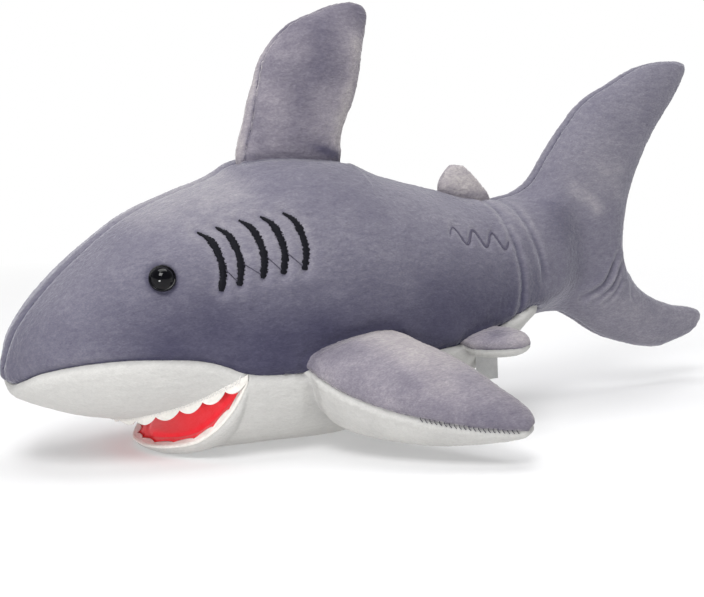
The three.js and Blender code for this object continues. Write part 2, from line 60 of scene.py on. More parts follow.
# ---------- numbers that describe the toy, in millimetres ----------
# x, back height, snout underside, belly underside, half width, height of the widest line
STATIONS = [
    (-313, 67, 67, 67, 0, 67),
    (-311, 78, 57, 57, 13, 67),
    (-303, 96, 47, 47, 31, 68),
    (-284, 119, 38, 36, 48, 71),
    (-255, 144, 29, 22, 61, 74),
    (-222, 167, 24, 7, 70, 74),
    (-190, 181, 24, -3, 75, 70),
    (-160, 191, 26, -3, 79, 60),
    (-120, 204, 26, -3, 82, 56),
    (-70, 201, 26, -3, 82, 57),
    (-20, 187, 26, 7, 77, 60),
    (30, 175, 26, 25, 69, 67),
    (75, 168, 47, 47, 57, 80),
    (110, 170, 70, 70, 44, 96),
    (150, 184, 80, 80, 35, 108),
    (185, 200, 84, 84, 27, 120),
]
BACK_POWER = 2.35
BELLY_POWER = 1.85
# x and height of the seam between grey and white
SIDE_SEAM = [
    (-313, 44), (-311.4, 53), (-309, 58), (-304, 64), (-296, 69), (-282, 73), (-265, 75.5), (-248, 76.5),
    (-228, 76), (-208, 74.5), (-194, 72), (-182, 68), (-172, 63.5), (-160, 61), (-140, 60), (-110, 59),
    (-75, 59), (-40, 62), (-12, 65), (14, 66.5), (38, 70), (58, 77), (75, 82), (90, 86), (102, 84.5),
    (111, 79), (117, 72), (121, 64),
]
# x and height of the upper lip, from its front to the mouth's corner
UPPER_LIP = [(-237, 25), (-232, 27.5), (-226, 31), (-215, 35.5), (-203, 40.5), (-191, 47), (-179, 55), (-168, 62)]
# x, height, half width and keel of the lower lip, from its front to the mouth's corner
LOWER_LIP = [
    (-218, 5.5, 0, 4.5), (-216.5, 5.5, 11, 3), (-213, 6, 21, 1), (-207, 7.5, 32, -1.5), (-198, 11, 45, -3),
    (-190, 16.5, 54, -3), (-182, 26.5, 63, -3), (-175, 40, 71, -3), (-170, 54, 76.5, -3), (-168, 62, 78, -3),
]
CORNER_X = -168
TEETH = 13


# ---------- small numeric helpers ----------
def smooth_table(rows, count=24):
    """Dense rows along a smooth curve through the given ones."""
    p = np.array(rows, float)
    m = np.gradient(p, axis=0)
    m[0], m[-1] = p[1] - p[0], p[-1] - p[-2]
    t = np.linspace(0, 1, count, endpoint=False)[:, None]
    parts = [
        (2 * t**3 - 3 * t**2 + 1) * p[i] + (t**3 - 2 * t**2 + t) * m[i]
        + (3 * t**2 - 2 * t**3) * p[i + 1] + (t**3 - t**2) * m[i + 1]
        for i in range(len(p) - 1)
    ]
    return np.vstack(parts + [p[-1:]])


def lookup(table, x, column):
    return np.interp(x, table[:, 0], table[:, column])


def bell(distance, width):
    return np.exp(-((distance / width) ** 2))


def ramp(x, low, high):
    t = np.clip((x - low) / (high - low), 0, 1)
    return t * t * (3 - 2 * t)


def value_noise(points, size, seed):
    """Smooth noise from -1 to 1 whose lumps are about `size` across."""
    cells = 32
    table = np.random.RandomState(seed).uniform(-1, 1, (cells, cells, cells))
    q = points / size + 1000
    base = np.floor(q).astype(int)
    f = q - base
    f = f * f * (3 - 2 * f)
    total = np.zeros(len(points))
    for corner in range(8):
        offset = np.array([corner & 1, corner >> 1 & 1, corner >> 2 & 1])
        weight = np.prod(np.where(offset, f, 1 - f), axis=1)
        i, j, k = ((base + offset) % cells).T
        total += weight * table[i, j, k]
    return total


def fractal(points, size, seed, octaves=3):
    parts = [value_noise(points, size / 2**k, seed + k) / 2**k for k in range(octaves)]
    return sum(parts) / 1.5


def polyline_distance(points, line):
    """Distance of 2-D points from a polyline."""
    line = np.array(line, float)
    best = np.full(len(points), 1e9)
    for a, b in zip(line[:-1], line[1:]):
        d = b - a
        t = np.clip((points - a) @ d / (d @ d), 0, 1)
        best = np.minimum(best, np.linalg.norm(points - a - t[:, None] * d, axis=1))
    return best


def inside_polygon(points, polygon):
    x, y = points.T
    hit = np.zeros(len(points), bool)
    for (x1, y1), (x2, y2) in zip(polygon, np.roll(polygon, -1, axis=0)):
        if y1 == y2:
            continue
        crosses = (y1 > y) != (y2 > y)
        hit ^= crosses & (x < (x2 - x1) * (y - y1) / (y2 - y1) + x1)
    return hit


# ---------- the body as a signed distance ----------
body_table = smooth_table(STATIONS)
seam_table = smooth_table(SIDE_SEAM)
upper_lip_table = smooth_table(UPPER_LIP)
lower_lip_table = smooth_table(LOWER_LIP)


def seam_height(x):
    """Height of the grey and white seam; it has run under the belly where the white has ended."""
    return np.where(x > SIDE_SEAM[-1][0], -50, lookup(seam_table, x, 1))


BODY_FRONT, BODY_BACK = -312.8, 185
NARROWING, NARROW_FROM, NARROW_TO = 0.6, 128, 184       # of the body's end, which lies inside the tail
END_DEPTH = 16      # past the body's ends, a point counts as at most this deep inside its section


def body_field(p):
    x, y, z = p.T
    xc = np.clip(x, BODY_FRONT, BODY_BACK)
    back, snout, belly, half, seam = (lookup(body_table, xc, k) for k in range(1, 6))
    half = half * (1 - NARROWING * ramp(xc, NARROW_FROM, NARROW_TO))
    under = np.where(x < CORNER_X, snout, belly)
    upper = z > seam
    height = np.maximum(np.where(upper, back - seam, seam - under), 0.6)
    power = np.where(upper, BACK_POWER, BELLY_POWER)
    across = np.abs(y) / np.maximum(half, 0.6)
    up = np.abs(z - seam) / height
    rho = np.maximum((across**power + up**power) ** (1 / power), 1e-6)
    radius = np.hypot(y, z - seam)
    radial = radius - radius / rho
    return np.where(x == xc, radial, np.hypot(np.maximum(radial, 0), x - xc) + np.clip(radial, -END_DEPTH, 0))


class Pillow:
    """A stuffed flat shape: two panels sewn round an outline. Its thickness follows the outline's width,
    as an inflated shape's does. Local coordinates are across, along, and through."""

    def __init__(self, outline, plump, thickest, origin=(0, 0, 0),
                 axes=((1, 0, 0), (0, 0, 1), (0, 1, 0)), cell=2.0, under=(1, 1)):
        self.under = under
        self.outline = np.array(outline, float)
        self.origin = np.array(origin, float)
        self.axes = np.array(axes, float)
        low = self.outline.min(0) - 14
        high = self.outline.max(0) + 14
        self.low, self.cell = low, cell
        shape = np.ceil((high - low) / cell).astype(int) + 1
        a, b = np.meshgrid(*(low[k] + cell * np.arange(shape[k]) for k in (0, 1)), indexing="ij")
        nodes = np.stack([a.ravel(), b.ravel()], 1)
        distance = polyline_distance(nodes, np.vstack([self.outline, self.outline[:1]]))
        distance[~inside_polygon(nodes, self.outline)] *= -1
        distance = distance.reshape(shape)
        inside = distance > 0
        phi = np.zeros(shape)
        for _ in range(900):
            around = np.zeros(shape)
            around[1:-1, 1:-1] = phi[2:, 1:-1] + phi[:-2, 1:-1] + phi[1:-1, 2:] + phi[1:-1, :-2]
            phi = np.where(inside, (around + cell * cell) / 4, 0)
        deep = distance > 1.5 * cell
        ratio = np.where(deep, 2 * phi / np.maximum(distance, cell), 0)
        known = deep.astype(float)
        for _ in range(12):
            spread = sum(np.roll(ratio * known, s, k) for k in (0, 1) for s in (1, -1))
            count = sum(np.roll(known, s, k) for k in (0, 1) for s in (1, -1))
            new = (known == 0) & (count > 0)
            ratio[new] = (spread / np.maximum(count, 1))[new]
            known[new] = 1
        ratio[known == 0] = ratio[deep].mean()
        square = plump**2 * ratio * distance
        limit = thickest**2
        self.square = np.where(square > 0, square / np.sqrt(1 + (square / limit) ** 2), square)
        self.slope = np.gradient(self.square, cell)
        self.distance = distance

    def sample(self, grid, ab):
        q = (ab - self.low) / self.cell
        base = np.clip(np.floor(q).astype(int), 0, np.array(grid.shape) - 2)
        f = np.clip(q - base, 0, 1)
        i, j = base.T
        fa, fb = f.T
        return (
            grid[i, j] * (1 - fa) * (1 - fb) + grid[i + 1, j] * fa * (1 - fb)
            + grid[i, j + 1] * (1 - fa) * fb + grid[i + 1, j + 1] * fa * fb
        )

    def local(self, p):
        return (p - self.origin) @ self.axes.T

    def world(self, q):
        return q @ self.axes + self.origin

    def local_field(self, q):
        ab = q[:, :2]
        high = self.low + self.cell * (np.array(self.square.shape) - 1)
        outside = np.linalg.norm(ab - np.clip(ab, self.low, high), axis=1)
        square = self.sample(self.square, ab)
        slope = np.hypot(self.sample(self.slope[0], ab), self.sample(self.slope[1], ab))
        fuller = np.interp(q[:, 1], (0, 95), self.under)
        through = np.where(q[:, 2] < 0, q[:, 2] / fuller, q[:, 2])
        near = (through**2 - square) / (np.hypot(2 * through, slope) + 4)
        distance = self.sample(self.distance, ab)
        beyond = ramp(-distance, 0, 9)
        return near + beyond * (np.hypot(distance, through) - near) + outside

    def field(self, p):
        return self.local_field(self.local(p))


def curve(points, count=60):
    table = smooth_table(points, 12)
    step = np.r_[0, np.cumsum(np.linalg.norm(np.diff(table, axis=0), axis=1))]
    at = np.linspace(0, step[-1], count)
    return np.stack([np.interp(at, step, table[:, k]) for k in range(table.shape[1])], 1)


def outline(front, back):
    """A closed outline from the foot of its front edge over the tip to the foot of its back edge."""
    return np.vstack([curve(front), curve(back)[::-1]])


tail = Pillow(
    outline(
        [(315, 53), (309, 46), (300, 41), (282, 36), (256, 32), (206, 45), (158, 71), (120, 76), (84, 92), (66, 120),
         (84, 150), (118, 173), (131, 189), (146, 209), (169, 237), (184, 249), (206, 260), (232, 273), (258, 279),
         (280, 280)],
        [(316, 58), (312, 62), (304, 64.5), (281, 68), (256, 77), (238, 88), (226, 101), (219, 112), (217, 124),
         (218, 139), (222, 162), (233, 191), (252, 223), (272, 248), (287, 271), (288, 277)],
    ),
    plump=0.7,
    thickest=36,
)


def smooth_union(a, b, reach):
    h = np.clip(0.5 + 0.5 * (b - a) / reach, 0, 1)
    return b + (a - b) * h - reach * h * (1 - h)


def skin_field(p):
    return smooth_union(body_field(p), tail.field(p), 12)


def gradient(field, p, step=0.4):
    columns = []
    for k in range(3):
        offset = np.zeros(3)
        offset[k] = step
        columns.append((field(p + offset) - field(p - offset)) / (2 * step))
    return np.stack(columns, 1)


def normals_of(field, p):
    g = gradient(field, p)
    return g / np.maximum(np.linalg.norm(g, axis=1, keepdims=True), 1e-9)


def settle(field, p, rounds=3):
    """Moves points onto the surface where the field is zero."""
    for _ in range(rounds):
        g = gradient(field, p)
        square = np.maximum((g * g).sum(1), 0.05)
        step = np.clip(field(p) / square, -2.5, 2.5)
        p = p - step[:, None] * g
    return p


# ---------- turning a field into a mesh ----------
def surface_net(field, low, high, cell):
    """Quads along the surface where the field changes sign, on an even grid."""
    low = np.array(low, float)
    shape = np.ceil((np.array(high, float) - low) / cell).astype(int) + 1
    axes = [low[k] + cell * np.arange(shape[k]) for k in range(3)]
    nodes = np.stack(np.meshgrid(*axes, indexing="ij"), -1).reshape(-1, 3)
    f = np.concatenate([field(part) for part in np.array_split(nodes, max(1, len(nodes) // 400000))]).reshape(shape)
    inside = f < 0
    count = sum(
        inside[i : shape[0] - 1 + i, j : shape[1] - 1 + j, k : shape[2] - 1 + k].astype(np.int8)
        for i in (0, 1) for j in (0, 1) for k in (0, 1)
    )
    active = (count > 0) & (count < 8)
    ids = np.full(active.shape, -1)
    ids[active] = np.arange(active.sum())
    total = np.zeros(active.shape + (3,))
    hits = np.zeros(active.shape)
    size = np.array(active.shape)
    for axis in range(3):
        for u in (0, 1):
            for v in (0, 1):
                start = np.zeros(3, int)
                start[[k for k in range(3) if k != axis]] = u, v
                stop = start.copy()
                stop[axis] = 1
                a = f[tuple(slice(start[k], start[k] + size[k]) for k in range(3))]
                b = f[tuple(slice(stop[k], stop[k] + size[k]) for k in range(3))]
                crossed = (a < 0) != (b < 0)
                t = np.where(crossed, a / np.where(crossed, a - b, 1), 0)
                for k in range(3):
                    total[..., k] += np.where(crossed, start[k] + (t if k == axis else 0), 0)
                hits += crossed
    cells = np.argwhere(active)
    verts = low + cell * (cells + total[active] / hits[active][:, None])
    faces = []
    for axis in range(3):
        u, v = [k for k in range(3) if k != axis]
        first = [slice(0, None)] * 3
        first[axis] = slice(0, shape[axis] - 1)
        second = list(first)
        second[axis] = slice(1, shape[axis])
        crossed = inside[tuple(first)] != inside[tuple(second)]
        where = np.argwhere(crossed)
        ok = (where[:, u] > 0) & (where[:, v] > 0) & (where[:, u] < size[u]) & (where[:, v] < size[v])
        where = where[ok]
        leaving = inside[tuple(first)][tuple(where.T)]
        corners = []
        for du, dv in ((-1, -1), (0, -1), (0, 0), (-1, 0)):
            c = where.copy()
            c[:, u] += du
            c[:, v] += dv
            corners.append(ids[tuple(c.T)])
        quads = np.stack(corners, 1)
        flip = leaving == (axis == 1)
        quads[flip] = quads[flip][:, ::-1]
        faces.append(quads)
    return verts, np.vstack(faces).tolist()


def keep_positive(verts, faces, cut, near=0.6):
    """The part of a mesh where cut(points) is positive, trimmed exactly along its zero line."""
    verts = verts.copy()
    value = cut(verts)
    close = np.abs(value) < near
    if close.any():
        g = gradient(cut, verts[close], 0.2)
        verts[close] -= (value[close] / np.maximum((g * g).sum(1), 0.3))[:, None] * g
        value[close] = 0
    points = list(verts)
    made = {}
    kept = []
    for face in faces:
        side = value[face]
        if side.min() >= 0:
            if side.max() > 0:
                kept.append(face)
            continue
        if side.max() <= 0:
            continue
        ring = []
        for a, b in zip(face, face[1:] + face[:1]):
            if value[a] >= 0:
                ring.append(a)
            if (value[a] > 0 > value[b]) or (value[a] < 0 < value[b]):
                key = (min(a, b), max(a, b))
                if key not in made:
                    t = value[a] / (value[a] - value[b])
                    made[key] = len(points)
                    points.append(verts[a] + t * (verts[b] - verts[a]))
                ring.append(made[key])
        if len(ring) > 2:
            kept.append(ring)
    used = sorted({k for face in kept for k in face})
    new = {k: i for i, k in enumerate(used)}
    return np.array([points[k] for k in used]), [[new[k] for k in face] for face in kept]


def evened(field, verts, faces, rounds=2):
    """Vertices slid along the surface towards the middle of their neighbours."""
    pairs = np.array([(a, b) for face in faces for a, b in zip(face, face[1:] + face[:1])])
    for _ in range(rounds):
        total = np.zeros_like(verts)
        count = np.zeros(len(verts))
        for a, b in (pairs.T, pairs.T[::-1]):
            np.add.at(total, a, verts[b])
            np.add.at(count, a, 1)
        verts = settle(field, verts + 0.6 * (total / np.maximum(count, 1)[:, None] - verts), 1)
    return settle(field, verts, 2)


def refined(verts, faces):
    """The mesh after one step of smooth subdivision."""
    mesh = bpy.data.meshes.new("rough")
    mesh.from_pydata(np.asarray(verts).tolist(), [], [list(map(int, f)) for f in faces])
    rough = bpy.data.objects.new("rough", mesh)
    bpy.context.scene.collection.objects.link(rough)
    fine = rough.modifiers.new("fine", "SUBSURF")
    fine.levels = fine.render_levels = 1
    bpy.context.view_layer.update()
    done = bpy.data.meshes.new_from_object(rough.evaluated_get(bpy.context.evaluated_depsgraph_get()))
    points = np.empty(len(done.vertices) * 3)
    done.vertices.foreach_get("co", points)
    polygons = [list(p.vertices) for p in done.polygons]
    bpy.data.objects.remove(rough)
    bpy.data.meshes.remove(mesh)
    bpy.data.meshes.remove(done)
    return points.reshape(-1, 3), polygons


def mesh_normals(verts, faces):
    """Area-weighted vertex normals."""
    total = np.zeros_like(verts)
    quads = np.array([f for f in faces if len(f) == 4])
    others = [f for f in faces if len(f) != 4]
    if len(quads):
        n = np.cross(verts[quads[:, 2]] - verts[quads[:, 0]], verts[quads[:, 3]] - verts[quads[:, 1]])
        for k in range(4):
            np.add.at(total, quads[:, k], n)
    for f in others:
        ring = verts[f]
        n = sum(np.cross(ring[k] - ring[0], ring[k + 1] - ring[0]) for k in range(1, len(f) - 1))
        for k in f:
            total[k] += n
    return total / np.maximum(np.linalg.norm(total, axis=1, keepdims=True), 1e-12)


def hemmed(verts, faces, normals, depth):
    """Adds the seam allowance: the open edge turned in towards the stuffing."""
    edges = {}
    for face in faces:
        for a, b in zip(face, face[1:] + face[:1]):
            edges[(a, b)] = edges.get((a, b), 0) + 1
    border = [(a, b) for a, b in edges if (b, a) not in edges]
    turned = {}
    points = [verts]
    extra = []
    for a, b in border:
        for k in (a, b):
            if k not in turned:
                turned[k] = len(verts) + len(extra)
                extra.append(verts[k] - depth * normals[k])
    added = [[b, a, turned[a], turned[b]] for a, b in border]
    if extra:
        points.append(np.array(extra))
    return np.vstack(points), faces + added


# ---------- materials ----------
def shader(name):
    material = bpy.data.materials.new(name)
    material.use_nodes = True
    tree = material.node_tree
    return material, tree, tree.nodes["Principled BSDF"]


def linear(r, g, b):
    """A linear colour from 0 to 255 screen values."""
    def one(v):
        v /= 255
        return v / 12.92 if v <= 0.04045 else ((v + 0.055) / 1.055) ** 2.4
    return (one(r), one(g), one(b), 1)


class Nodes:
    """Short calls for the nodes that the cloth materials share. Texture sizes are in millimetres."""

    def __init__(self, tree):
        self.tree = tree
        self.place = tree.nodes.new("ShaderNodeAttribute")
        self.place.attribute_name = "rest"

    def link(self, a, b):
        self.tree.links.new(a, b)

    def stretched(self, scale, turn=(0, 0, 0)):
        node = self.tree.nodes.new("ShaderNodeMapping")
        node.inputs["Scale"].default_value = scale
        node.inputs["Rotation"].default_value = turn
        self.link(self.place.outputs["Vector"], node.inputs["Vector"])
        return node.outputs["Vector"]

    def noise(self, size, detail=2.0, rough=0.5, distortion=0.0, vector=None):
        node = self.tree.nodes.new("ShaderNodeTexNoise")
        node.inputs["Scale"].default_value = 1 / size
        node.inputs["Detail"].default_value = detail
        node.inputs["Roughness"].default_value = rough
        node.inputs["Distortion"].default_value = distortion
        self.link(vector or self.place.outputs["Vector"], node.inputs["Vector"])
        return node.outputs["Fac"]

    def cells(self, size, feature="F1", vector=None):
        node = self.tree.nodes.new("ShaderNodeTexVoronoi")
        node.feature = feature
        node.inputs["Scale"].default_value = 1 / size
        self.link(vector or self.place.outputs["Vector"], node.inputs["Vector"])
        return node.outputs["Distance"]

    def wave(self, size, direction="X", distortion=0.0, vector=None):
        node = self.tree.nodes.new("ShaderNodeTexWave")
        node.bands_direction = direction
        node.inputs["Scale"].default_value = 0.314 / size
        node.inputs["Distortion"].default_value = distortion
        self.link(vector or self.place.outputs["Vector"], node.inputs["Vector"])
        return node.outputs["Fac"]

    def attribute(self, name):
        node = self.tree.nodes.new("ShaderNodeAttribute")
        node.attribute_name = name
        return node.outputs["Fac"]

    def math(self, operation, a, b):
        node = self.tree.nodes.new("ShaderNodeMath")
        node.operation = operation
        for socket, value in zip(node.inputs, (a, b)):
            if isinstance(value, (int, float)):
                socket.default_value = value
            else:
                self.link(value, socket)
        return node.outputs[0]

    def total(self, *weighted):
        """The sum of (value, weight) pairs."""
        parts = [self.math("MULTIPLY", value, weight) for value, weight in weighted]
        out = parts[0]
        for part in parts[1:]:
            out = self.math("ADD", out, part)
        return out

    def ramp(self, value, stops):
        node = self.tree.nodes.new("ShaderNodeValToRGB")
        band = node.color_ramp
        while len(band.elements) < len(stops):
            band.elements.new(0.5)
        for element, (position, colour) in zip(band.elements, stops):
            element.position = position
            element.color = colour
        self.link(value, node.inputs["Fac"])
        return node.outputs["Color"]

    def mix(self, factor, a, b, blend="MIX"):
        node = self.tree.nodes.new("ShaderNodeMix")
        node.data_type = "RGBA"
        node.blend_type = blend
        for socket, value in ((node.inputs[0], factor), (node.inputs[6], a), (node.inputs[7], b)):
            if isinstance(value, (int, float, tuple)):
                socket.default_value = value
            else:
                self.link(value, socket)
        return node.outputs[2]

    def bump(self, height, strength, distance, under=None):
        node = self.tree.nodes.new("ShaderNodeBump")
        node.inputs["Strength"].default_value = strength
        node.inputs["Distance"].default_value = distance * MM
        self.link(height, node.inputs["Height"])
        if under is not None:
            self.link(under, node.inputs["Normal"])
        return node.outputs["Normal"]


def plush(name, dark, middle, light, shades, sheen, tint, pile=1.0):
    """Short brushed pile: broad patches where the nap lies differently, streaks along it, and single fibres."""
    material, tree, bsdf = shader(name)
    n = Nodes(tree)
    along = n.stretched((0.35, 1, 1), (0, 0.35, 0.1))
    patches = n.noise(38, 3, 0.55, 0.6)
    tone_pattern = n.noise(11, 3, 0.6, 1.2, along)
    streaks = n.noise(2.6 * pile, 2, 0.6, 0.4, along)
    fibres = n.noise(0.75 * pile, 2, 0.7, 0.0, along)
    value = n.total((patches, 0.16), (tone_pattern, 0.18), (streaks, 0.26), (fibres, 0.40))
    colour = n.ramp(value, [(0.30, dark), (0.50, middle), (0.70, light)])
    # The tone attribute, painted light and shade with some random variation, multiplies the pile's colour.
    shading_level = n.math("MULTIPLY_ADD", n.attribute("tone"), 0.5)
    shading_level.node.inputs[2].default_value = 0.5
    shade = n.ramp(shading_level, [(0.0, shades[0]), (0.5, shades[1]), (1.0, shades[2])])
    n.link(n.mix(1.0, colour, shade, "MULTIPLY"), bsdf.inputs["Base Color"])
    clumps = n.cells(1.9 * pile, "SMOOTH_F1", along)
    coarse = n.bump(n.total((clumps, 0.8), (streaks, 0.9)), 0.55, 0.7 * pile)
    fine = n.bump(fibres, 0.65, 0.35 * pile, coarse)
    n.link(fine, bsdf.inputs["Normal"])
    rough = n.math("MULTIPLY_ADD", tone_pattern, 0.12)
    rough.node.inputs[2].default_value = 0.8
    n.link(rough, bsdf.inputs["Roughness"])
    bsdf.inputs["Specular IOR Level"].default_value = 0.15
    bsdf.inputs["Sheen Weight"].default_value = sheen
    bsdf.inputs["Sheen Roughness"].default_value = 0.38
    bsdf.inputs["Sheen Tint"].default_value = tint
    return material


def felt(name, dark, light, rough=0.92):
    """Pressed felt: matted fibres with no nap."""
    material, tree, bsdf = shader(name)
    n = Nodes(tree)
    mottled = n.noise(6, 4, 0.6, 0.8)
    matted = n.noise(0.7, 3, 0.7, 1.5)
    colour = n.ramp(n.total((mottled, 0.6), (matted, 0.4)), [(0.38, dark), (0.62, light)])
    n.link(colour, bsdf.inputs["Base Color"])
    n.link(n.bump(n.total((matted, 0.8), (mottled, 0.5)), 0.5, 0.3), bsdf.inputs["Normal"])
    bsdf.inputs["Roughness"].default_value = rough
    bsdf.inputs["Specular IOR Level"].default_value = 0.2
    bsdf.inputs["Sheen Weight"].default_value = 0.35
    bsdf.inputs["Sheen Roughness"].default_value = 0.5
    return material


def thread(name, dark, light, rough=0.6):
    """Twisted embroidery thread with a slight shine."""
    material, tree, bsdf = shader(name)
    n = Nodes(tree)
    strands = n.noise(0.5, 2, 0.6, 0.3, n.stretched((1, 1, 3.0)))
    colour = n.ramp(strands, [(0.35, dark), (0.7, light)])
    n.link(colour, bsdf.inputs["Base Color"])
    n.link(n.bump(strands, 0.5, 0.15), bsdf.inputs["Normal"])
    bsdf.inputs["Roughness"].default_value = rough
    bsdf.inputs["Specular IOR Level"].default_value = 0.15
    bsdf.inputs["Sheen Weight"].default_value = 0.03
    return material


def glossy_plastic(name, dark, light):
    """Polished black plastic with faint moulding flow and a few fine scratches."""
    material, tree, bsdf = shader(name)
    n = Nodes(tree)
    flow = n.noise(5, 2, 0.5, 0.6)
    colour = n.ramp(flow, [(0.3, dark), (0.8, light)])
    n.link(colour, bsdf.inputs["Base Color"])
    scratches = n.noise(0.9, 2, 0.5, 0.0, n.stretched((6, 0.3, 0.6), (0.4, 0.3, 0)))
    rough = n.math("MULTIPLY_ADD", scratches, 0.05)
    rough.node.inputs[2].default_value = 0.03
    n.link(rough, bsdf.inputs["Roughness"])
    bsdf.inputs["IOR"].default_value = 1.32
    return material


def satin_tape(name, dark, light):
    """Woven label tape."""
    material, tree, bsdf = shader(name)
    n = Nodes(tree)
    weft = n.wave(0.35, "Z", 0.3)
    warp = n.wave(0.45, "X", 0.3)
    weave = n.total((weft, 0.6), (warp, 0.4))
    tone = n.total((weave, 0.6), (n.noise(4, 2), 0.4))
    n.link(n.ramp(tone, [(0.25, dark), (0.75, light)]), bsdf.inputs["Base Color"])
    n.link(n.bump(weave, 0.35, 0.12), bsdf.inputs["Normal"])
    bsdf.inputs["Roughness"].default_value = 0.5
    bsdf.inputs["Sheen Weight"].default_value = 0.2
    return material


COOL = (0.95, 0.95, 1.0, 1)
WARM = (1.0, 0.95, 0.93, 1)
# Ramps from the tone attribute to a factor on the plush colour: bluish painted shade at the low end, a warm painted
# highlight at the high end.
DEEP_PAINTED_SHADING = [(0.20, 0.20, 0.28, 1), (0.62, 0.62, 0.645, 1), (1.0, 1.0, 0.92, 1)]
SOFT_PAINTED_SHADING = [(0.66, 0.66, 0.68, 1), (0.94, 0.94, 0.94, 1), (1, 1, 1, 1)]
grey_plush = plush("grey_plush", linear(112, 109, 127), linear(138, 135, 148), linear(168, 165, 173),
                   DEEP_PAINTED_SHADING, 0.45, COOL)
fin_plush = plush("fin_plush", linear(132, 126, 140), linear(163, 157, 165), linear(196, 190, 193),
                  DEEP_PAINTED_SHADING, 0.55, WARM, 1.25)
white_plush = plush("white_plush", linear(182, 181, 179), linear(195, 194, 191), linear(208, 207, 204),
                    SOFT_PAINTED_SHADING, 0.15, WARM, 0.8)
red_felt = felt("red_felt", linear(252, 40, 54), linear(255, 62, 76))
white_felt = felt("white_felt", linear(212, 209, 203), linear(230, 227, 221))
black_thread = thread("black_thread", linear(2, 2, 8), linear(14, 14, 26))
grey_thread = thread("grey_thread", linear(62, 60, 76), linear(104, 100, 116))
dark_thread = thread("dark_thread", linear(40, 38, 52), linear(74, 70, 86))
white_thread = thread("white_thread", linear(200, 198, 196), linear(232, 230, 226))
eye_plastic = glossy_plastic("eye_plastic", linear(3, 3, 6), linear(9, 9, 14))
label_tape = satin_tape("label_tape", linear(168, 168, 168), linear(204, 204, 203))


# ---------- making pieces ----------
def piece(name, verts, faces, material, slot_name, tone=None):
    """A mesh in millimetres becomes an object in metres that remembers its shape at rest for its textures."""
    verts = np.asarray(verts, float)
    mesh = bpy.data.meshes.new(name)
    mesh.from_pydata((verts * MM).tolist(), [], [list(map(int, f)) for f in faces])
    mesh.materials.append(material)
    mesh.shade_smooth()
    rest = mesh.attributes.new("rest", "FLOAT_VECTOR", "POINT")
    rest.data.foreach_set("vector", verts.astype(np.float32).ravel())
    shade = mesh.attributes.new("tone", "FLOAT", "POINT")
    shade.data.foreach_set("value", (np.zeros(len(verts)) if tone is None else tone).astype(np.float32))
    obj = bpy.data.objects.new(name, mesh)
    bpy.context.scene.collection.objects.link(obj)
    return obj


def grid_faces(rows, columns, closed=False, offset=0):
    faces = []
    for i in range(rows - 1):
        for j in range(columns if closed else columns - 1):
            k = (j + 1) % columns
            faces.append([offset + i * columns + j, offset + (i + 1) * columns + j, offset + (i + 1) * columns + k,
                          offset + i * columns + k])
    return faces


def border_ring(rows, columns):
    """The vertex numbers round the edge of a grid."""
    first, last = range(columns), range((rows - 1) * columns + columns - 2, (rows - 1) * columns - 1, -1)
    right = [i * columns + columns - 1 for i in range(1, rows)]
    left = [i * columns for i in range(rows - 2, 0, -1)]
    return [*first, *right, *last, *left]


def walled(front, back, faces, rows, columns, flip):
    """A sheet with thickness: a front grid, its reversed back, and the walls that join them."""
    verts, both = joined([(front, faces), (back, [f[::-1] for f in faces])])
    ring, step = border_ring(rows, columns), rows * columns
    for a, b in zip(ring, ring[1:] + ring[:1]):
        wall = [a, b, b + step, a + step]
        both.append(wall[::-1] if flip else wall)
    return verts, both


def joined(parts):
    """Several (verts, faces) as one."""
    verts, faces, offset = [], [], 0
    for v, f in parts:
        verts.append(v)
        faces += [[k + offset for k in face] for face in f]
        offset += len(v)
    return np.vstack(verts), faces


def tube(centres, normals, widths, heights, sides=8):
    """A closed tube of elliptic section along a line; normals point away from the cloth."""
    centres, normals = np.asarray(centres, float), np.asarray(normals, float)
    along = np.gradient(centres, axis=0)
    along /= np.maximum(np.linalg.norm(along, axis=1, keepdims=True), 1e-9)
    across = np.cross(along, normals)
    across /= np.maximum(np.linalg.norm(across, axis=1, keepdims=True), 1e-9)
    angles = 2 * math.pi * np.arange(sides) / sides
    widths = np.broadcast_to(widths, len(centres))
    heights = np.broadcast_to(heights, len(centres))
    rings = (
        centres[:, None]
        + across[:, None] * (widths[:, None] * np.cos(angles))[..., None]
        + normals[:, None] * (heights[:, None] * np.sin(angles))[..., None]
    )
    verts = rings.reshape(-1, 3)
    faces = grid_faces(len(centres), sides, closed=True)
    faces.append(list(range(sides)))
    last = (len(centres) - 1) * sides
    faces.append([last + k for k in reversed(range(sides))])
    return verts, faces


# ---------- the fins' shapes ----------
def fin_axes(droop, pitch, yaw):
    """Across, along and through for a paired fin on the left side."""
    droop, pitch, yaw = (math.radians(v) for v in (droop, pitch, yaw))
    chord = np.array([math.cos(pitch) * math.cos(yaw), math.cos(pitch) * math.sin(yaw), math.sin(pitch)])
    outward = np.array([0, -math.cos(droop), -math.sin(droop)])
    outward -= chord * (outward @ chord)
    outward /= np.linalg.norm(outward)
    return chord, outward, np.cross(outward, chord)


dorsal = Pillow(
    outline([(-143, 160), (-139, 204), (-132.5, 230), (-128, 248), (-119.5, 272), (-110, 287), (-95.5, 300),
             (-77.5, 308), (-60.5, 315), (-47.5, 318)],
            [(-50, 160), (-54, 202), (-55, 218), (-50, 233), (-44, 246), (-39.5, 264), (-36, 284), (-31.5, 303),
             (-31, 311), (-36, 317)]),
    plump=0.55, thickest=22,
)
second_dorsal = Pillow(
    outline([(28, 145), (32, 172), (35, 182), (40, 191), (46, 197)],
            [(92, 145), (86, 168), (76, 179), (67, 188), (58, 196)]),
    plump=0.46, thickest=11, cell=1.0,
)
pectoral = Pillow(
    outline([(-64, -26), (-54, 0), (-45, 22), (-30, 44), (-8, 66), (18, 86), (38, 97), (53, 103)],
            [(22, -26), (29, 0), (38, 16), (47, 34), (54, 54), (60, 73), (64, 88), (62, 99)]),
    plump=0.74, thickest=31, origin=(-69, -88, 65), axes=fin_axes(28, 8, 0), under=(2.6, 1.35),
)
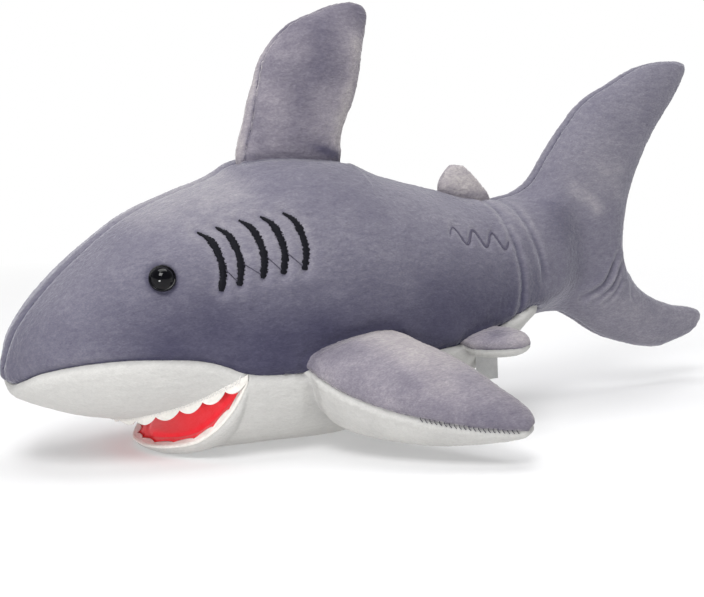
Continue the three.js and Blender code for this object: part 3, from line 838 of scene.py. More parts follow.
pelvic = Pillow(
    outline([(-18, -16), (-17, 1), (-11, 10), (0, 20), (13, 28)],
            [(27, -16), (26, 1), (29, 9), (30, 18), (24, 28)]),
    plump=0.72, thickest=11, origin=(28, -72, 67), axes=fin_axes(14, 10, 14), cell=1.0, under=(1.1, 1.1),
)


def on_left(p):
    return np.stack([p[:, 0], -np.abs(p[:, 1]), p[:, 2]], 1)


# ---------- relief: seams, dents, creases and lumps ----------
def node_box(name):
    low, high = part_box(name)
    return np.array(low) / MM, np.array(high) / MM


def gill_line(number):
    """The arc of one gill in x and height, fitted in its CAD node's box."""
    low, high = node_box(f"gill_stitch_{number}_left")
    x = low[0] + 2.5
    return [(x, high[2] - 4), (x + 7, high[2] - 9.5), (x + 10.6, high[2] - 19), (x + 11.6, high[2] - 30),
            (x + 8.5, low[2] + 1.6)]


GILLS = [gill_line(number) for number in range(1, 6)]
ripple_low, ripple_high = node_box("ripple_stitch")
RIPPLE_WAVES = 3
RIPPLE_SWING = 5.5


def ripple_line(count):
    k = np.linspace(0, 1, count)
    x = ripple_low[0] + 1.5 + (ripple_high[0] - ripple_low[0] - 3) * k
    middle = (ripple_low[2] + ripple_high[2]) / 2 + 4.5 - 9 * k
    return np.stack([x, middle + RIPPLE_SWING * np.sin(2 * math.pi * RIPPLE_WAVES * k)], 1)


eye_low, eye_high = node_box("eye_left")
EYE = (-222, 129)
# creases of the tail's root and fork, in x and height, with depth and width
CREASES = [
    ([(69, 168), (74, 145), (79, 109), (74, 86), (64, 68)], 1.2, 3.0),
    ([(89, 168), (93, 156), (102, 128), (107, 106)], 1.0, 3.2),
    ([(70, 172), (75, 159), (82, 146)], 0.7, 3.0),
    ([(201, 118), (187, 95), (166, 84)], 2.6, 2.6),
    ([(209, 112), (197, 93), (178, 81)], 2.4, 2.4),
    ([(211, 102), (201, 88), (189, 79)], 1.8, 2.2),
    ([(223, 92), (222, 82), (228, 74)], 1.2, 2.2),
]
seam_line = curve(SIDE_SEAM, 70)


def puckered(p, seed):
    """Uneven pull of the thread along a seam."""
    return 1 + 0.45 * value_noise(p, 2.6, seed) + 0.2 * value_noise(p, 7, seed + 1)


def painted_light_and_shade(p):
    """Painted light and shade: shade on the lower flanks and in the hollow at the tail's root, highlights on the head,
    the brow, the back and the tail's root; a streak on the tail and its lower lobe are lighter too.
    """
    # painted shade on the lower flanks, from behind the snout to the tail
    low = ramp(-p[:, 2], -156, -82) * (0.35 + 0.65 * ramp(p[:, 0], -285, -215)) * (1 - ramp(p[:, 0], 70, 150))
    side = p[:, [0, 2]]
    # painted highlight on the top of the head
    high = 0.12 * ramp(p[:, 2], 118, 178) * bell(p[:, 0] + 165, 45)
    brow_highlight = bell(polyline_distance(side, [(-222, 172), (-190, 180), (-160, 186)]), 13)
    # painted highlight along the back behind the dorsal fin
    back = ramp(p[:, 2], 140, 180) * ramp(p[:, 0], -70, -20)
    pale_streak = bell(polyline_distance(side, [(152, 175), (165, 168), (176, 158)]), 7)
    lobe = ramp(p[:, 0], 150, 195) * ramp(-p[:, 2], -100, -68)
    hollow_shade = bell(polyline_distance(side, [(130, 152), (145, 134), (150, 112)]), 15)
    rump_highlight = bell(np.hypot(p[:, 0] - 178, p[:, 2] - 182), 24)
    return (-0.95 * low + high + 0.85 * brow_highlight + 0.14 * back + 0.32 * rump_highlight + 0.6 * pale_streak + 0.4 * lobe
            - 0.5 * hollow_shade)


def body_relief(p):
    """How far the body's skin stands out (positive) or is pulled in, and its tone: random variation, painted light and
    shade over the whole body, painted shade in the seams, gills and creases and round the eye and fins, and painted
    highlights beside them.
    """
    left = on_left(p)
    side = left[:, [0, 2]]
    rise = 1.3 * fractal(p, 60, 11, 2) + 0.35 * value_noise(p, 17, 14)
    # tone: painted light and shade over the body, plus random variation of the pile
    tone = painted_light_and_shade(p) + 0.16 * fractal(p, 38, 77, 2)
    from_side = polyline_distance(side, seam_line)
    from_top = np.where(left[:, 2] > seam_height(left[:, 0]) + 6, np.abs(p[:, 1]), 50)
    for distance in (from_side, from_top):
        groove = puckered(p, 21) * (-2.0 * bell(distance, 2.3))
        rise += groove + 0.7 * bell(distance - 7, 4.5) * (1 - bell(distance, 3))
        # painted shade in the seam's groove
        tone -= 0.7 * bell(distance, 1.5)
    gills = np.min([polyline_distance(side, curve(line, 14)) for line in GILLS], axis=0)
    rise -= 1.5 * bell(gills, 4.2)
    # painted highlight in a band round each gill's dent, painted shade in the dent
    tone += 0.36 * bell(np.maximum(gills - 3, 0), 4.5) - 0.6 * bell(gills, 2.2)
    if (p[:, 1] < 0).any():
        ripple = np.where(p[:, 1] < 0, polyline_distance(side, ripple_line(36)), 99)
        rise -= 1.1 * bell(ripple, 2.6)
        # painted highlight beside the ripple's dent, painted shade in it
        tone += 0.2 * bell(np.maximum(ripple - 2, 0), 2.5) - 0.4 * bell(ripple, 1.2)
    eye = np.hypot(side[:, 0] - EYE[0], side[:, 1] - EYE[1])
    rise -= 2.6 * bell(eye, 11)
    # painted shade in a ring round the eye
    tone -= 0.5 * bell(eye - 9, 2.0)
    rise -= 2.0 * bell(np.hypot(side[:, 0] + 304, side[:, 1] - 70), 7)
    for line, depth, width in CREASES:
        d = polyline_distance(side, curve(line, 14))
        ends = np.minimum(np.linalg.norm(side - line[0], axis=1), np.linalg.norm(side - line[-1], axis=1))
        fade = ramp(ends, -4, 14)
        ridge = 0.6 * bell(d - 2 * width, width * 1.5) * (1 - bell(d, width))
        rise += 0.85 * fade * depth * (-bell(d, width * 1.2) + ridge)
        # painted shade in the crease, painted highlight on the ridges beside it
        tone += fade * (0.36 * bell(d - 1.6 * width, 0.8 * width) - 0.30 * bell(d, width * 0.8))
    for fin, reach, shoulder in ((dorsal, 4.5, 3.4), (second_dorsal, 3.0, 0), (pectoral, 5.0, 0), (pelvic, 3.0, 0)):
        d = fin.field(left)
        rise += shoulder * bell(np.maximum(d - 2, 0), 16) - 0.45 * reach * bell(d, reach)
        # painted shade where the fins meet the body
        tone -= 0.35 * bell(d, 0.7 * reach)
    return rise, tone


def pile_relief(p, height, seed):
    """Tufts of pile, fine enough to break the outline."""
    return height * (0.6 * value_noise(p, 2.4, seed) + 0.5 * value_noise(p, 1.3, seed + 1))


# ---------- grey skin from nose to tail ----------
GREY_CELL = 2.4


def above_seam(p):
    left = on_left(p)
    return left[:, 2] - seam_height(left[:, 0])


net, net_faces = surface_net(skin_field, (-316, -96, 20), (318, 4, 290), GREY_CELL)
net, net_faces = keep_positive(net, net_faces, lambda p: -p[:, 1])
net, net_faces = keep_positive(net, net_faces, above_seam)
net = settle(skin_field, net, 3)
net[np.abs(net[:, 1]) < 0.02, 1] = 0
net, net_faces = refined(net, net_faces)


def grey_side(name, mirror):
    verts = net * (1, -1, 1) if mirror else net.copy()
    faces = [face[::-1] for face in net_faces] if mirror else net_faces
    normals = normals_of(skin_field, verts)
    rise, tone = body_relief(verts)
    rise += pile_relief(verts, 0.35, 51)
    moved = verts + rise[:, None] * normals
    moved[np.abs(verts[:, 1]) < 0.02, 1] = 0
    extra, faces = hemmed(moved, faces, normals, 4)
    # the turned-in hem takes painted shade
    tone = np.r_[tone, np.full(len(extra) - len(tone), -1.0)]
    skin = piece(name, extra, faces, grey_plush, "plush_grey", tone)
    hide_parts("body_panel_left" if not mirror else "body_panel_right",
                "tail_panel_left" if not mirror else "tail_panel_right")
    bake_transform(skin)
    return skin


grey_side("grey_skin_left", False)
right_skin = grey_side("grey_skin_right", True)
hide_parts("tail_stuffing", "body_stuffing")


# ---------- white underside, with the lower jaw ----------
def section_angle(x, z):
    """The angle on the body's section whose height is z: 90 is the back, -90 the underside."""
    back, snout, belly, half, seam = (lookup(body_table, x, k) for k in range(1, 6))
    under = np.where(x < CORNER_X, snout, belly)
    up = np.clip((z - seam) / np.maximum(back - seam, 0.1), 0, 1) ** (BACK_POWER / 2)
    down = np.clip((seam - z) / np.maximum(seam - under, 0.1), 0, 1) ** (BELLY_POWER / 2)
    return np.degrees(np.where(z > seam, np.arcsin(up), -np.arcsin(down)))


def section_point(x, angle):
    """A point of the body's left half."""
    back, snout, belly, half, seam = (lookup(body_table, x, k) for k in range(1, 6))
    under = np.where(x < CORNER_X, snout, belly)
    power = np.where(angle > 0, BACK_POWER, BELLY_POWER)
    s, c = np.sin(np.radians(angle)), np.cos(np.radians(angle))
    height = np.where(angle > 0, back - seam, seam - under)
    z = seam + height * np.sign(s) * np.abs(s) ** (2 / power)
    return np.stack([x, -half * np.abs(c) ** (2 / power), z], -1)


def jaw_point(x, angle):
    """A point of the lower jaw's left half, from the lip at 0 to the keel at -90."""
    z, half, keel = (lookup(lower_lip_table, x, k) for k in (1, 2, 3))
    s, c = np.sin(np.radians(-angle)), np.cos(np.radians(angle))
    across, down = (np.abs(part) ** (2 / BELLY_POWER) for part in (c, s))
    return np.stack([x, -half * across, z - (z - keel) * down], -1)


def belly_grid():
    """Rows of points across the jaw and the belly, from the right seam to the left one."""
    front = LOWER_LIP[0][0]
    xs = np.r_[front + (CORNER_X - front) * np.linspace(0.02, 1, 44, endpoint=False) ** 1.8,
               np.arange(CORNER_X, 120.5, 1.6)]
    across = np.linspace(-1, 1, 141)
    rows = []
    for x in xs:
        at, share = np.full(len(across), x), np.abs(across)
        if x < CORNER_X:
            q = jaw_point(at, -90 + 90 * share)
        else:
            seam_angle = float(section_angle(np.array([x]), np.array([seam_height(x)]))[0])
            q = section_point(at, -90 + (90 + seam_angle) * share)
        q[:, 1] *= -np.sign(across)
        rows.append(q)
    return np.array(rows)


belly_rows = belly_grid()
belly = belly_rows.reshape(-1, 3)
belly_faces = grid_faces(belly_rows.shape[0], belly_rows.shape[1])
belly_normals = mesh_normals(belly, belly_faces)
if belly_normals[:, 2].mean() > 0:
    belly_faces = [face[::-1] for face in belly_faces]
    belly_normals = -belly_normals


def white_relief(p, seed):
    left = on_left(p)
    side = left[:, [0, 2]]
    from_side = polyline_distance(side, seam_line)
    rise = 0.9 * fractal(p, 55, seed, 2) * ramp(p[:, 2], 2, 25)
    rise += puckered(p, 21) * (-2.0 * bell(from_side, 2.3)) + 0.6 * bell(from_side - 7, 4.5)
    # painted shade along the seam
    tone = -0.5 * bell(from_side, 1.5)
    for fin, reach in ((pectoral, 5.0), (pelvic, 3.0)):
        d = fin.field(left)
        rise -= 0.4 * reach * bell(d, reach)
        # painted shade where the fins meet the underside
        tone -= 0.4 * bell(d, 0.5 * reach)
    return rise + pile_relief(p, 0.2, seed + 3), tone


rise, tone = white_relief(belly, 61)
belly = belly + rise[:, None] * belly_normals
belly[:, 2] = np.maximum(belly[:, 2], 0)
belly, belly_faces = hemmed(belly, belly_faces, belly_normals, 3)
# the turned-in hem takes painted shade
tone = np.r_[tone, np.full(len(belly) - len(tone), -0.6)]
underside = piece("white_underside", belly, belly_faces, white_plush, "plush_white", tone)
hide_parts("belly_panel", "jaw_panel", "jaw_stuffing")
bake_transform(underside)


# ---------- white underside of the snout ----------
def upper_lip_height(x):
    return lookup(upper_lip_table, x, 1)


def snout_half():
    """Rows of points from the left seam of the snout down to the lip or the middle."""
    front = UPPER_LIP[0][0]
    xs = np.r_[-311.3 + 12 * np.linspace(0, 1, 14, endpoint=False) ** 1.6, np.arange(-299.3, front - 1, 1.6),
               np.linspace(front - 1, front + 8, 14, endpoint=False), np.arange(front + 8, CORNER_X + 0.2, 1.5)]
    share = np.linspace(0, 1, 58)
    rows = []
    for x in xs:
        top = float(section_angle(np.array([x]), np.array([seam_height(x)]))[0])
        low = -90.0
        if x > front:
            low = float(section_angle(np.array([x]), np.array([upper_lip_height(x)]))[0])
        rows.append(section_point(np.full(len(share), x), top + (min(low, top - 0.05) - top) * share))
    return np.array(rows)


def welded(verts, faces, distance=0.02):
    """Vertices at the same place become one."""
    key = np.round(verts / distance).astype(np.int64)
    _, first, back = np.unique(key, axis=0, return_index=True, return_inverse=True)
    back = back.ravel()
    kept = []
    for face in faces:
        ring = []
        for k in face:
            if back[k] not in ring:
                ring.append(int(back[k]))
        if len(ring) > 2:
            kept.append(ring)
    return verts[first], kept


snout_rows = snout_half()
half_faces = grid_faces(*snout_rows.shape[:2])
left_half = snout_rows.reshape(-1, 3)
left_half[np.abs(left_half[:, 1]) < 0.03, 1] = 0
snout, snout_faces = joined([(left_half, half_faces), (left_half * (1, -1, 1), [f[::-1] for f in half_faces])])
snout, snout_faces = welded(snout, snout_faces)
snout_normals = mesh_normals(snout, snout_faces)
if snout_normals[:, 2].mean() > 0:
    snout_faces = [face[::-1] for face in snout_faces]
    snout_normals = -snout_normals
rise, tone = white_relief(snout, 71)
snout = snout + rise[:, None] * snout_normals
snout, snout_faces = hemmed(snout, snout_faces, snout_normals, 3)
# the turned-in hem takes painted shade
tone = np.r_[tone, np.full(len(snout) - len(tone), -0.6)]
snout_skin = piece("white_snout", snout, snout_faces, white_plush, "plush_white", tone)
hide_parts("snout_panel")
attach(snout_skin, "torso")


# ---------- mouth ----------
def section_y(x, z):
    return -section_point(x, section_angle(x, z))[:, 1]


def lining(name, xs, half, height, crown, thickness, node, creases=()):
    """A felt sheet from lip to lip, slightly domed."""
    across = np.linspace(-1, 1, 81)
    rows = []
    for x, w, z, c in zip(xs, half, height, crown):
        rows.append(np.stack([np.full(len(across), x), w * across, z + c * (1 - across**2)], 1))
    rows = np.array(rows)
    verts = rows.reshape(-1, 3)
    faces = grid_faces(*rows.shape[:2])
    normals = mesh_normals(verts, faces)
    if normals[:, 2].mean() < 0:
        faces = [face[::-1] for face in faces]
        normals = -normals
    verts = verts + 0.3 * fractal(verts, 14, 81)[:, None] * normals
    for line, depth, width in creases:
        d = polyline_distance(np.stack([verts[:, 0], np.abs(verts[:, 1])], 1), line)
        verts = verts - (depth * bell(d, width))[:, None] * normals
    flip = faces[0][0] != 0 or faces[0][1] != rows.shape[1]
    both, both_faces = walled(verts, verts - thickness * normals, faces, *rows.shape[:2], flip)
    sheet = piece(name, both, both_faces, red_felt, "felt_red")
    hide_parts(node)
    return sheet


lip_front = UPPER_LIP[0][0] + 1.2
roof_x = lip_front + (CORNER_X - 2 - lip_front) * np.linspace(0, 1, 50) ** 1.6
roof_z = upper_lip_height(roof_x)
roof = lining("mouth_roof", roof_x, np.maximum(section_y(roof_x, roof_z) - 2.0, 0.4), roof_z + 0.4,
              3.0 * np.ones(50), -1.2, "mouth_lining_upper")
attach(roof, "torso")

floor_front = LOWER_LIP[0][0] + 1.4
floor_x = floor_front + (CORNER_X - 2 - floor_front) * np.linspace(0, 1, 60) ** 1.6
floor_z, floor_w = (lookup(lower_lip_table, np.minimum(floor_x, CORNER_X), k) for k in (1, 2))
FOLD = [(-209, 0), (-205, 14), (-196, 30), (-186, 44), (-177, 56), (-172, 66)]
floor = lining("mouth_floor", floor_x, np.maximum(floor_w - 2.5, 0.4), floor_z - 0.4,
               5.0 * ramp(floor_x, floor_front, floor_front + 14) * (1 - 0.5 * ramp(floor_x, -178, CORNER_X)), 1.2,
               "mouth_lining_lower", [(curve(FOLD, 24), 1.4, 1.6)])
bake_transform(floor)


def along_line(points, count):
    """Even steps along a 3-D polyline."""
    step = np.r_[0, np.cumsum(np.linalg.norm(np.diff(points, axis=0), axis=1))]
    at = np.linspace(0, step[-1], count)
    return np.stack([np.interp(at, step, points[:, k]) for k in range(3)], 1)


def scalloped(name, line, out, hang, base, scallop, thickness, node, phase, short=1.0, roll=0):
    """A strip of white felt along a lip, its free edge cut in scallops; with roll, a round bead runs along its sewn
    edge.
    """
    u = np.linspace(0, 1, len(line))
    wave = np.abs(np.sin(math.pi * (TEETH * u + phase))) ** 0.75
    length = (base + scallop * wave) * short
    rows = []
    for share in np.linspace(0, 1, 9):
        curl = 0.5 * share**2 + 0.25 * np.sin(2 * math.pi * TEETH * u * 0.5 + 1) * share
        rows.append(line + hang * (share * length)[:, None] + out * curl[:, None])
    front = np.array(rows)
    n, m = front.shape[:2]
    outer = front + out * thickness
    faces = grid_faces(n, m)
    verts, both = walled(outer.reshape(-1, 3), front.reshape(-1, 3), faces, n, m, False)
    if (mesh_normals(verts, both)[: n * m] * np.tile(out, (n, 1))).sum() < 0:
        both = [f[::-1] for f in both]
    if roll:
        verts, both = joined([(verts, both), tube(line - 0.3 * out, out, roll, roll, 8)])
    strip = piece(name, verts, both, white_felt, "felt_white")
    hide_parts(node)
    return strip


def both_sides(half_line):
    """A left half line, from the corner to the middle, and its mirror image."""
    return np.vstack([half_line, (half_line * (1, -1, 1))[::-1][1:]])


def flat_normals(line):
    """Horizontal directions pointing out of a U-shaped line."""
    along = np.gradient(line, axis=0)
    out = np.stack([along[:, 1], -along[:, 0], np.zeros(len(line))], 1)
    out /= np.maximum(np.linalg.norm(out, axis=1, keepdims=True), 1e-9)
    if out[:, 0].sum() > 0:
        out = -out
    return out


lip_x = CORNER_X - 0.8 + (lip_front - 0.6 - CORNER_X + 0.8) * np.linspace(0, 1, 90)
lip_z = upper_lip_height(lip_x)
half_line = np.stack([lip_x, -section_y(lip_x, lip_z), lip_z], 1)
half_line[-1, 1] = 0
upper_line = along_line(both_sides(half_line), 8 * TEETH * 2 + 1)
upper_out = flat_normals(upper_line)
at_front = bell(upper_line[:, 1], 24)
down = np.tile([0.0, 0.0, -1.0], (len(upper_line), 1)) - (0.25 + 0.5 * at_front)[:, None] * upper_out
teeth_top = scalloped("teeth_upper_felt", upper_line + 0.4 * upper_out + (0, 0, 1.5), upper_out, down, 3.2, 5.0, 1.0,
                      "teeth_upper", 0.0, 1 - 0.45 * at_front)
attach(teeth_top, "torso")

low_x = CORNER_X - 0.8 + (LOWER_LIP[0][0] + 0.6 - CORNER_X + 0.8) * np.linspace(0, 1, 90)
low_z, low_w = (lookup(lower_lip_table, low_x, k) for k in (1, 2))
half_line = np.stack([low_x, -low_w, low_z], 1)
half_line[-1, 1] = 0
lower_line = along_line(both_sides(half_line), 8 * TEETH * 2 + 1)
lower_out = flat_normals(lower_line)
inward = -lower_out + np.outer(0.3 + 1.3 * ramp(lower_line[:, 0], -204, -178), (0, 0, 1))
inward /= np.linalg.norm(inward, axis=1, keepdims=True)
up_out = np.cross(np.gradient(lower_line, axis=0), inward)
up_out /= np.linalg.norm(up_out, axis=1, keepdims=True)
if up_out[:, 2].sum() < 0:
    up_out = -up_out
teeth_low = scalloped("teeth_lower_felt", lower_line + 0.5 * up_out, up_out, inward, 2.6, 3.0, 1.0, "teeth_lower", 0.5,
                      roll=1.1)
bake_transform(teeth_low)

# small overcast stitches that hold the upper strip to the snout
overcast = []
for k in range(6, len(upper_line) - 6, 2):
    p, out = upper_line[k], upper_out[k]
    lean = 0.5 * (upper_line[k + 1] - upper_line[k - 1])
    path = np.array([
        p + (0, 0, 3.4) - lean,
        p + out + (0, 0, 2.2) - 0.3 * lean,
        p + 1.5 * out + (0, 0, 0.6),
        p + 0.9 * out + lean - (0, 0, 0.9),
    ])
    overcast.append(tube(curve(path, 8), np.tile(out, (8, 1)), 0.42, 0.42, 6))
lip_stitches = piece("lip_overcast_stitches", *joined(overcast), white_thread, "felt_white")
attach(lip_stitches, "torso")


# ---------- fins ----------
def straight_seam(q):
    return 0 * q[:, 0]


def dorsal_seam(q):
    """The front seam of the dorsal fin is pulled to the left side at its foot."""
    return 6.5 * ramp(-q[:, 0], 98, 132) * (1 - ramp(q[:, 1], 225, 295))


def dorsal_light_and_shade(q):
    # Painted light on the strip of the right panel along the front edge and along the back edge, painted shade along
    # the foot; darker at the tip and through the middle.
    strip = (q[:, 2] > -dorsal_seam(q)) * ramp(-q[:, 0], 104, 124)
    rear = bell(polyline_distance(q[:, :2], [(-60, 212), (-53, 236), (-46, 285)]), 9)
    foot = bell(polyline_distance(q[:, :2], [(-94, 214), (-76, 210), (-57, 204)]), 4)
    tip = ramp(q[:, 1], 282, 316)
    core = bell(polyline_distance(q[:, :2], [(-100, 222), (-92, 250), (-78, 285)]), 20)
    return (-0.2 + 0.7 * strip + 0.75 * rear * (1 - foot) - 0.8 * foot * ramp(q[:, 0], -98, -70) - 0.3 * tip
            - 0.28 * core)


def stuffed_fin(shape, cell, keep_deep):
    """The net of a fin's whole surface in local coordinates, without what is deep inside the body."""
    low = np.r_[shape.outline.min(0) - 3, -max(shape.under) * shape.square.max() ** 0.5 - 3]
    high = np.r_[shape.outline.max(0) + 3, shape.square.max() ** 0.5 + 3]
    verts, faces = surface_net(shape.local_field, low, high, cell)
    verts = evened(shape.local_field, verts, faces, 1)
    return keep_positive(verts, faces, lambda q: body_field(shape.world(q)) + keep_deep, 0.3)


def fin_relief(shape, world, local, seed, groove, lump, tone_pattern, seam):
    """How far a fin's skin stands out, and its tone: the given pattern, random variation, and painted shade along its
    seam and where it meets the body.
    """
    rise = lump * fractal(world, 34, seed, 2) + pile_relief(world, 0.4, seed + 5)
    edge_band = bell(shape.sample(shape.distance, local[:, :2]), 16)
    off_seam = local[:, 2] + seam(local)
    rise += puckered(world, seed + 9) * (-groove * bell(off_seam, 1.9)) * edge_band
    rise += 0.35 * groove * bell(np.abs(off_seam) - 5, 3) * edge_band
    body = body_field(world)
    rise -= 1.6 * bell(body, 5)
    tone = tone_pattern(local) + 0.30 * value_noise(world, 19, seed + 3)
    # painted shade along the seam and where the fin meets the body
    tone = tone - 0.7 * bell(off_seam, 1.3) * edge_band - 0.25 * bell(body - 2, 4)
    return rise, tone


def fin_panels(shape, cell, keep_deep, seed, groove, lump, tone_pattern, seam=straight_seam):
    """Both panels of a fin, cut apart at its seam: (verts, faces, tone) below and above it."""
    local, faces = stuffed_fin(shape, cell, keep_deep)
    panels = []
    for sign in (-1, 1):
        part, part_faces = keep_positive(local, faces, lambda q, s=sign: s * (q[:, 2] + seam(q)), 0.25 * cell)
        part, part_faces = refined(part, part_faces)
        world = shape.world(part)
        normals = normals_of(shape.field, world)
        rise, tone = fin_relief(shape, world, part, seed, groove, lump, tone_pattern, seam)
        moved = world + rise[:, None] * normals
        moved[:, 2] = np.maximum(moved[:, 2], 0.3)
        whole, whole_faces = hemmed(moved, part_faces, normals, 2.5)
        if (mesh_normals(moved, part_faces) * normals).sum() < 0:
            whole_faces = [f[::-1] for f in whole_faces]
        # the turned-in hem takes painted shade
        panels.append((whole, whole_faces, np.r_[tone, np.full(len(whole) - len(moved), -0.8)]))
    return panels


def upright_fin(shape, cell, label, seed, groove, lump, tone_pattern, seam=straight_seam):
    """The left and right panels of a fin on the back."""
    panels = fin_panels(shape, cell, 12, seed, groove, lump, tone_pattern, seam)
    for (verts, faces, tone), side in zip(panels, ("left", "right")):
        skin = piece(f"{label}_skin_{side}", verts, faces, fin_plush, "plush_fin", tone)
        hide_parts(f"{label}_panel_{side}")
        if side == "right":
            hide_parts(f"{label}_stuffing")
        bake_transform(skin)


upright_fin(dorsal, 2.2, "dorsal_fin", 101, 1.9, 1.2,
            dorsal_light_and_shade, dorsal_seam)
upright_fin(second_dorsal, 1.5, "second_dorsal", 111,
            1.1, 0.5, lambda q: 1.1 - 0.6 * bell(q[:, 1] - 172, 5))


def paired_fin(shape, cell, label, seed, keep_deep, groove, lump, tone_pattern):
    """Grey top and white underside, on both sides of the body."""
    panels = fin_panels(shape, cell, keep_deep, seed, groove, lump, tone_pattern)
    for side, flip in (("left", 1), ("right", -1)):
        mirror = np.array([1, flip, 1])
        for (verts, faces, tone), face_name in zip(panels, ("underside", "top")):
            look, slot_name = (white_plush, "plush_white") if face_name == "underside" else (fin_plush, "plush_fin")
            faces = faces if flip == 1 else [f[::-1] for f in faces]
            skin = piece(f"{label}_skin_{face_name}_{side}", verts * mirror, faces, look, slot_name, tone)
            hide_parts(f"{label}_{face_name}_{side}")
            if face_name == "top":
                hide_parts(f"{label}_stuffing_{side}")
            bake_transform(skin)


# The top panel's pattern: painted light on its rear part near the body, painted shade towards the tip; the underside
# has none.
paired_fin(pectoral, 2.0, "pectoral_fin", 121, 14, 1.7, 1.0,
           lambda q: (0.95 * ramp(q[:, 0] - 0.3 * q[:, 1], -30, -2) * (1 - 0.75 * ramp(q[:, 1], 18, 60)) - 0.1
                      - 0.55 * ramp(q[:, 1], 62, 98)) * (q[:, 2] > 0))
paired_fin(pelvic, 1.5, "pelvic_fin", 131, 8, 1.1, 0.4,
           lambda q: (0.3 - bell(np.hypot(q[:, 0] - 5, 1.5 * (q[:, 1] - 9)), 13)) * (q[:, 2] > 0))


# ---------- hand stitches that close the pectoral fins ----------
def closing_stitches(shape, share_from, share_to, pitch, label):
    """Whip stitches across a fin's leading seam, where the stuffing went in."""
    seam = curve(shape.outline[:60], 200)
    seam = seam[int(share_from * 200): int(share_to * 200)]
    step = np.r_[0, np.cumsum(np.linalg.norm(np.diff(seam, axis=0), axis=1))]
    made = []
    for at in np.arange(pitch, step[-1], pitch):
        a, b = (np.array([np.interp(at + d, step, seam[:, k]) for k in range(2)]) for d in (-0.9, 0.9))
        along = (b - a) / np.linalg.norm(b - a)
        out = np.array([-along[1], along[0]])
        if shape.sample(shape.distance, (a + 3 * out)[None]) > 0:
            out = -out
        slip = 0.8 * math.sin(7.3 * at)
        path = np.array([[*(a - 1.5 * out), 2.2 + slip], [*(a - 0.1 * out), 1.0], [*b, -0.9],
                         [*(b - 1.5 * out), -2.0 + slip]])
        line = curve(shape.world(path), 9)
        made.append(tube(line, np.tile(np.array([*out, 0.0]) @ shape.axes, (9, 1)), 0.27, 0.27, 6))
    verts, faces = joined(made)
    for side, flip in (("left", 1), ("right", -1)):
        sewn = piece(f"{label}_closing_stitches_{side}", verts * (1, flip, 1),
                     faces if flip == 1 else [f[::-1] for f in faces], dark_thread, "thread_grey")
        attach(sewn, f"{label}_{side}")


closing_stitches(pectoral, 0.58, 0.97, 3.3, "pectoral_fin")


# ---------- places on the finished skin ----------
def on_flank(x, z, side=-1):
    """Points of the body's finished left or right skin at given x and height, and its normals there."""
    x, z = np.asarray(x, float), np.asarray(z, float)
    low, high = np.zeros(len(x)), np.full(len(x), 110.0)
    for _ in range(32):
        middle = (low + high) / 2
        within = skin_field(np.stack([x, side * middle, z], 1)) < 0
        low, high = np.where(within, middle, low), np.where(within, high, middle)
    p = np.stack([x, side * low, z], 1)
    normals = normals_of(skin_field, p)
    return p + body_relief(p)[0][:, None] * normals, normals


# ---------- gills ----------
def satin(line, normals, width, height, stitch, seed):
    """A bar of satin stitch: threads laid side by side across a line, each a little longer or shorter."""
    length = np.linalg.norm(np.diff(line, axis=0), axis=1).sum()
    stitches = int(length / stitch)
    count = stitches * 5 + 1
    fine = along_line(line, count)
    at = np.linspace(0, 1, len(line))
    u = np.linspace(0, 1, count)
    up = np.stack([np.interp(u, at, normals[:, k]) for k in range(3)], 1)
    random = np.random.RandomState(seed)
    ragged = 1 + 0.30 * random.uniform(-1, 1, stitches + 1)
    each = ragged[np.minimum((u * stitches).astype(int), stitches)]
    thread_round = np.abs(np.sin(math.pi * u * stitches))
    taper = (0.18 + 0.82 * ramp(u, -0.06, 0.34)) * (0.45 + 0.55 * ramp(1 - u, -0.02, 0.05)) * (1 - 0.2 * u**2)
    widths = width / 2 * taper * each * (0.93 + 0.07 * thread_round)
    heights = height * (0.55 + 0.45 * taper) * (0.8 + 0.2 * thread_round)
    return tube(fine, up, widths, heights, 12)


for number, arc in enumerate(GILLS, start=1):
    for side, name in ((-1, "left"), (1, "right")):
        flat_arc = curve(arc, 40)
        centre, out = on_flank(flat_arc[:, 0], flat_arc[:, 1], side)
        verts, faces = satin(centre + 0.2 * out, out, 6.1, 1.2, 0.7, 200 + number)
        gill = piece(f"gill_satin_{number}_{name}", verts, faces, black_thread, "thread_black")
        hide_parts(f"gill_stitch_{number}_{name}")
        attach(gill, "torso")

jumps = []
for side in (-1, 1):
    for a, b in zip(GILLS[:-1], GILLS[1:]):
        knee = np.array([a[3][0] + 1.5, a[3][1] + 1])
        foot = np.array([b[4][0] - 1.5, b[4][1] + 2.5])
        ends, out = on_flank(*np.array([knee, foot]).T, side)
        share = np.linspace(0, 1, 6)[:, None]
        jumps.append(tube(ends[0] + 1.5 * out[0] + share * (ends[1] - ends[0]), out[[0] * 6], 0.26, 0.26, 6))
jump_threads = piece("gill_jump_threads", *joined(jumps), dark_thread, "thread_black")
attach(jump_threads, "torso")

wave_line = ripple_line(150)
centre, out = on_flank(wave_line[:, 0], wave_line[:, 1])
verts, faces = satin(centre + 0.15 * out, out, 2.3, 0.7, 0.6, 300)
ripple = piece("ripple_satin", verts, faces, grey_thread, "thread_grey")
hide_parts("ripple_stitch")
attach(ripple, "torso")


